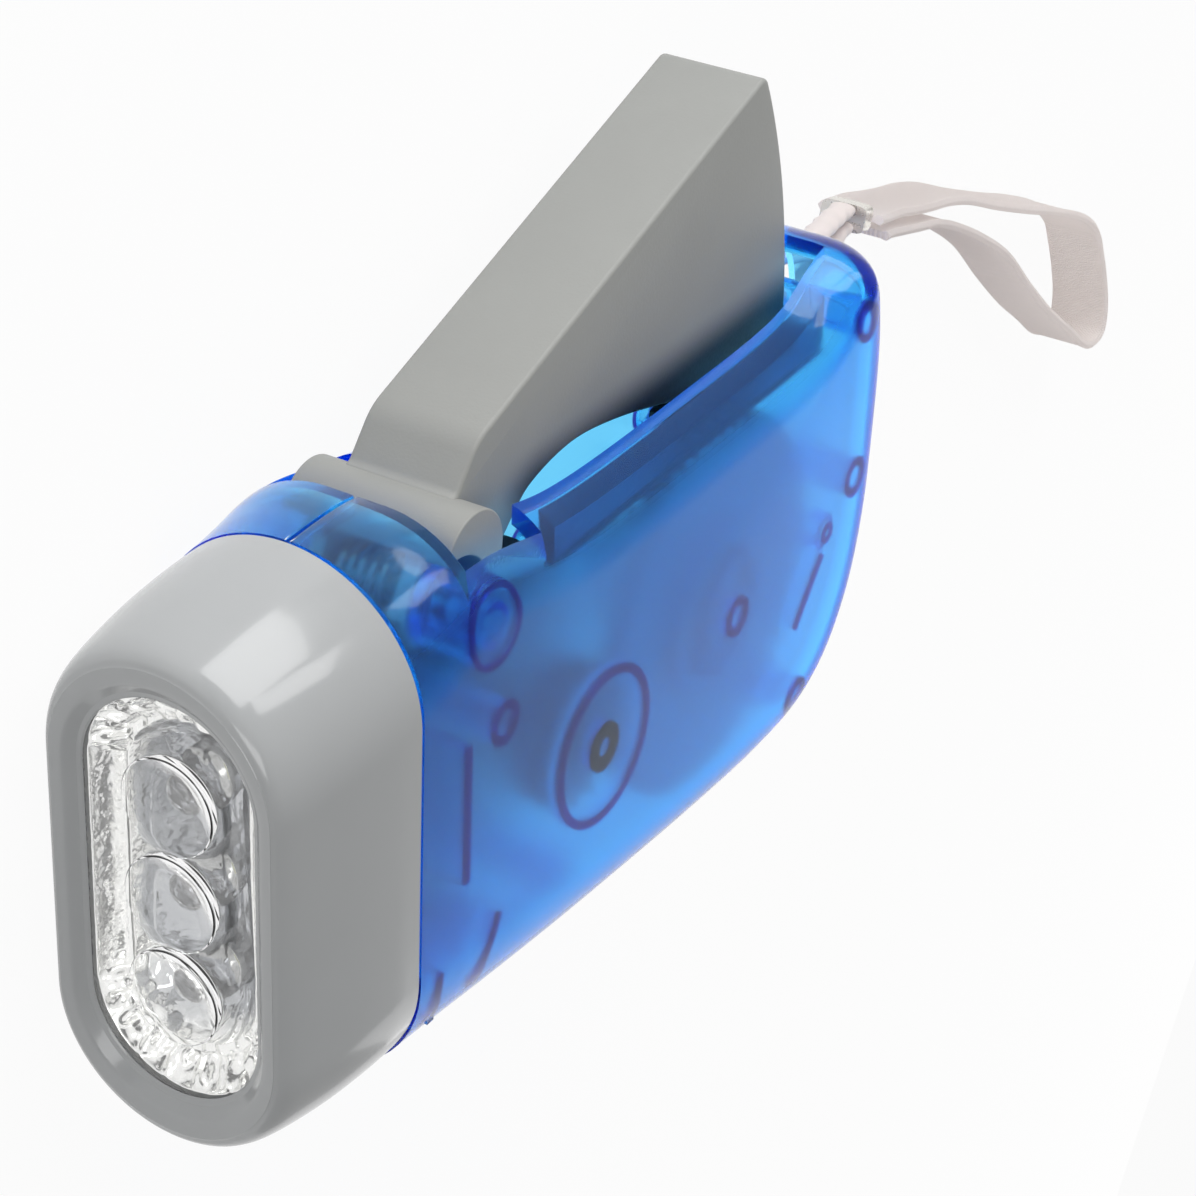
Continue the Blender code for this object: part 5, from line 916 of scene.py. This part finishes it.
# Plastic over a post, and over the shaft's end: a soft violet or umber shadow in the wall
violet = post_root("blue_styrene_post_shadow", "#C896E6", "#7A3468", 0.26)
umber = post_root("blue_styrene_axle_shadow", "#8C8A94", "#3C3832", 0.55)
# Polished ABS: tight, clear highlights
bezel_grey = moulded("grey_abs_gloss", "#B0B2B3", 0.16, 0.5, 0.002, 0.02,
                     {"Coat Weight": 0.25, "Coat Roughness": 0.05})
# ABS inside the channel, painted nearly black as the shade between the plates
channel_painted_shade = moulded("grey_abs_painted_shade_inside", "#1E1F22", 0.45, 0.30, 0.018, 0.10)
# ABS with a spark-eroded grain: broad, soft highlights, and painted shade that darkens it down in the slot
lever_grey = moulded("grey_abs_spark_eroded", "#9B9C99", 0.52, 0.30, 0.018, 0.03,
                     painted_shade=("#1C1D20", (0, -24.5, -19.5), (1, -12.0, -4.0)))
# Aluminium coat on hammered styrene: mirror glints, with painted shade that dims the bottom of the bowls
chrome = moulded("metallised_styrene", "#FAFAF8", 0.10, 1.4, 0.12, 0.02, {"Metallic": 0.88},
                 painted_shade=("#C2C4C7", (1, -47.2, -44.6)))
# Polished acrylic: clear, with a slight wave
acrylic = clear_plastic("clear_acrylic_polished")
# Cast epoxy: clear, with a waved skin that crinkles what it shows
epoxy = clear_plastic("clear_epoxy_cast", 0.02, "#FCFDFF", 1.53, 0.88, 1.3, 0.22)
# Tinned iron: a pale, soft mirror
tinned = moulded("tinned_iron", "#C9C9C6", 0.22, 0.3, 0.004, 0.04, {"Metallic": 1.0})
# Phosphor in resin: matt pale yellow
phosphor = moulded("yellow_phosphor", "#E6E4C4", 0.5, 0.2, 0.01)
# Nylon webbing: its threads lie 0.3 mm apart and are drawn 0.55 mm apart so that they show
webbing_weave = woven("white_nylon_woven", "#FDF7F5", 0.55)
# Twisted nylon: matt, off-white, with a faint sheen
cord_nylon = moulded("white_nylon_twisted", "#E9DEDA", 0.6, 0.25, 0.03, 0.05, {"Sheen Weight": 0.3})
# Folded tinned steel: bright and a little warm
crimp_tin = moulded("tinned_steel_folded", "#DDD9D2", 0.28, 0.5, 0.01, 0.05, {"Metallic": 0.7})
# Ground steel: one clean streak of light
steel = moulded("steel_ground", "#B9B9B6", 0.22, 0.2, 0.003, 0.05, {"Metallic": 1.0})
# Drawn spring steel: darker and satin
spring_steel = moulded("spring_steel_drawn", "#8E8E8C", 0.3, 0.2, 0.004, 0.06, {"Metallic": 1.0})
# Nylon as moulded: milky, lit a little way in
nylon = moulded("natural_nylon_moulded", "#E3E1D6", 0.42, 0.4, 0.008, 0.03, {"Subsurface Weight": 0.2,
                "Subsurface Radius": (0.002, 0.0018, 0.0014)})
# Black ABS: soft grey highlights
dark_abs = moulded("black_abs_moulded", "#242426", 0.4, 0.4, 0.008, 0.08)
# Acetal: mid grey, waxy
acetal = moulded("grey_acetal_moulded", "#767A82", 0.38, 0.4, 0.008, 0.05)
# ABS of the flywheel: dark grey, a dim shape behind the case
wheel_grey = moulded("dark_abs_flywheel", "#35373B", 0.38, 0.4, 0.008, 0.08)
# Sintered ferrite: matt charcoal, mottled
ferrite = moulded("sintered_ferrite", "#3A3A3C", 0.55, 0.15, 0.02, 0.12, {"Metallic": 0.2})
# Enamelled copper wire, wound: warm glints broken by the turns
copper = moulded("enamelled_copper_wound", "#B4622E", 0.28, 0.25, 0.04, 0.10, {"Metallic": 0.9})
# Glass-epoxy board: dull green, mottled by its cloth
board_green = moulded("glass_epoxy_board", "#2E6B45", 0.35, 0.5, 0.006, 0.10)
# Shrunk sleeve: violet blue with slack ripples
sleeve = moulded("heat_shrink_sleeve", "#3B3F8A", 0.35, 0.8, 0.02, 0.06)
# PVC insulation: smooth and softly glossy
red_pvc = moulded("red_pvc_insulation", "#B5231E", 0.35, 0.3, 0.005, 0.05)
black_pvc = moulded("black_pvc_insulation", "#1E1E20", 0.35, 0.3, 0.005, 0.08)

# Cords
cord_piece, cord_route = strand("strap_strands", CORD, 0.85)
dress(cord_piece, cord_nylon, degrees=60, stands_for=["strap_cord"])
web_piece, web_route = ribbon("strap_ribbon", WEBBING, 8.0, 1.1)
dress(web_piece, webbing_weave, degrees=60, stands_for=["strap_webbing"])
clip = dress(crimp_clip(), crimp_tin, degrees=50, stands_for=["strap_crimp"])

# Case, posts and neck
for side, label in ((1, "upper"), (-1, "lower")):
    dress(case_half(side), blue, degrees=30, stands_for=[f"case_{label}"])
    dress(moulded_posts(side), blue, degrees=40)
    for make, finish, degrees in (
            (post_root_shadows, violet, 40), (axle_shadow, umber, 40), (switch_pan, blue, 30),
            (slot_flange, navy_shade, 30), (neck_ring, blue, 30)):
        piece = make(side)
        piece.name = f"{make.__name__}_{label}"
        dress(piece, finish, degrees=degrees)

dress(joined("bezel_ring", [obround_ring(bezel_profile())]), bezel_grey, degrees=20, stands_for=["bezel"])
lever = dress(lever_body(), lever_grey, "lever", degrees=28, stands_for=["lever"])
darken_channel(lever.data)
dress(window_pane(), acrylic, degrees=30, stands_for=["lens_window"])
dress(reflector_skin(), chrome, degrees=70, stands_for=["reflector"])
for lift, label in zip(LAMP_LIFTS, ("top", "middle", "bottom")):
    dress(joined(f"lamp_{label}", [lamp_body(lift)]), epoxy, degrees=35, stands_for=[f"led_{label}"])
    dress(joined(f"lead_frame_{label}", lamp_frame(lift)), tinned, degrees=35)
    dress(joined(f"die_{label}", [lamp_die(lift)]), phosphor, degrees=35)

# Solids shown as they are, each with its finish
CARRIED = {
    "cell_stack": sleeve, "claw_plate_lower": tinned, "claw_plate_upper": tinned, "bobbin": nylon,
    "coil_winding": copper, "drive_axle": steel, "wheel_shaft": steel, "hinge_pin": steel,
    "drive_gear": acetal, "drive_pinion": acetal, "ratchet_pawl": acetal, "flywheel": wheel_grey,
    "flywheel_pinion": dark_abs, "ring_magnet": ferrite, "lamp_board": board_green, "rectifier": dark_abs,
    "lead_black": black_pvc, "lead_red": red_pvc, "slide_button": bezel_grey, "slide_switch": dark_abs}
dress(spring_coil(), spring_steel, stands_for=["return_spring"])
dress(spring_arm(), spring_steel, "lever")
for name, finish in CARRIED.items():
    for slot in nodes[name].material_slots:
        slot.material = finish


# Floor, lamps and world
def studio_floor():
    """Pale floor: seen straight it is white, with a share of its real shading for the shadow."""
    finish, tree = new_finish("pale_studio_floor")
    spot = add(tree, "TexCoord").outputs["Object"]
    grain = add(tree, "TexNoise", {"Vector": spot, "Scale": 300.0})
    bump = add(tree, "Bump", {"Height": grain, "Distance": 0.00002})
    surface = add(tree, "BsdfPrincipled", {"Base Color": linear("#F4F4F4"), "Roughness": 0.9,
                                           "Normal": bump})
    glow = add(tree, "Emission", {"Color": (1, 1, 1, 1), "Strength": 1.0})
    path = add(tree, "LightPath")
    seen = add(tree, "Math", {0: path.outputs["Is Camera Ray"], 1: path.outputs["Is Glossy Ray"]},
               operation="MAXIMUM")
    seen = add(tree, "Math", {0: seen, 1: path.outputs["Is Transmission Ray"]}, operation="MAXIMUM")
    share = add(tree, "Math", {0: seen, 1: 0.94}, operation="MULTIPLY")
    both = add(tree, "MixShader", {0: share, 1: surface, 2: glow})
    add(tree, "OutputMaterial", {"Surface": both})
    floor = raw_piece("studio_floor", [(-2, -2, 0), (2, -2, 0), (2, 2, 0), (-2, 2, 0)], [(0, 1, 2, 3)])
    floor.data.materials.append(finish)


def softbox(name, spot, aim, size, power):
    """A white rectangular lamp at a place in the torch's own millimetres, turned to its aim."""
    data = bpy.data.lights.new(name, "AREA")
    data.shape = "RECTANGLE"
    data.size, data.size_y = size[0] * MM, size[1] * MM
    data.energy = power
    lamp = bpy.data.objects.new(name, data)
    bpy.context.scene.collection.objects.link(lamp)
    spot, aim = (Vector(place(*point).tolist()) for point in (spot, aim))
    lamp.location = spot
    lamp.rotation_euler = (aim - spot).to_track_quat("-Z", "Y").to_euler()


def light():
    """Bright, even air that dims towards the zenith for what it lights, and four soft lamps."""
    world = bpy.data.worlds.new("studio_air")
    world.use_nodes = True
    tree = world.node_tree
    tree.nodes.clear()
    path = add(tree, "LightPath")
    seen = add(tree, "Math", {0: path.outputs["Is Camera Ray"], 1: path.outputs["Is Transmission Ray"]},
               operation="MAXIMUM")
    half = add(tree, "Math", {0: path.outputs["Is Glossy Ray"], 1: 0.25}, operation="MULTIPLY")
    seen = add(tree, "Math", {0: seen, 1: half}, operation="MAXIMUM")
    toward = add(tree, "SeparateXYZ", {0: add(tree, "TexCoord").outputs["Generated"]})
    dusk = add(tree, "MapRange", {"Value": toward.outputs[2], "To Min": 0.42, "To Max": 0.22})
    strength = add(tree, "MapRange", {"Value": seen, "To Min": dusk, "To Max": 1.0})
    air = add(tree, "Background", {"Color": (1, 1, 1, 1), "Strength": strength})
    add(tree, "OutputWorld", {"Surface": air})
    bpy.context.scene.world = world
    softbox("key_softbox", (120, 470, 110), (50, 0, 0), (380, 380), 1.9)
    softbox("shoulder_softbox", (205, 350, 325), (20, 10, 5), (240, 90), 0.26)
    softbox("back_softbox", (330, -170, 70), (60, 0, 0), (320, 220), 0.20)
    softbox("front_softbox", (-380, 120, 260), (0, 0, 0), (160, 300), 0.44)


studio_floor()
light()
bpy.context.scene.view_settings.view_transform = "Standard"
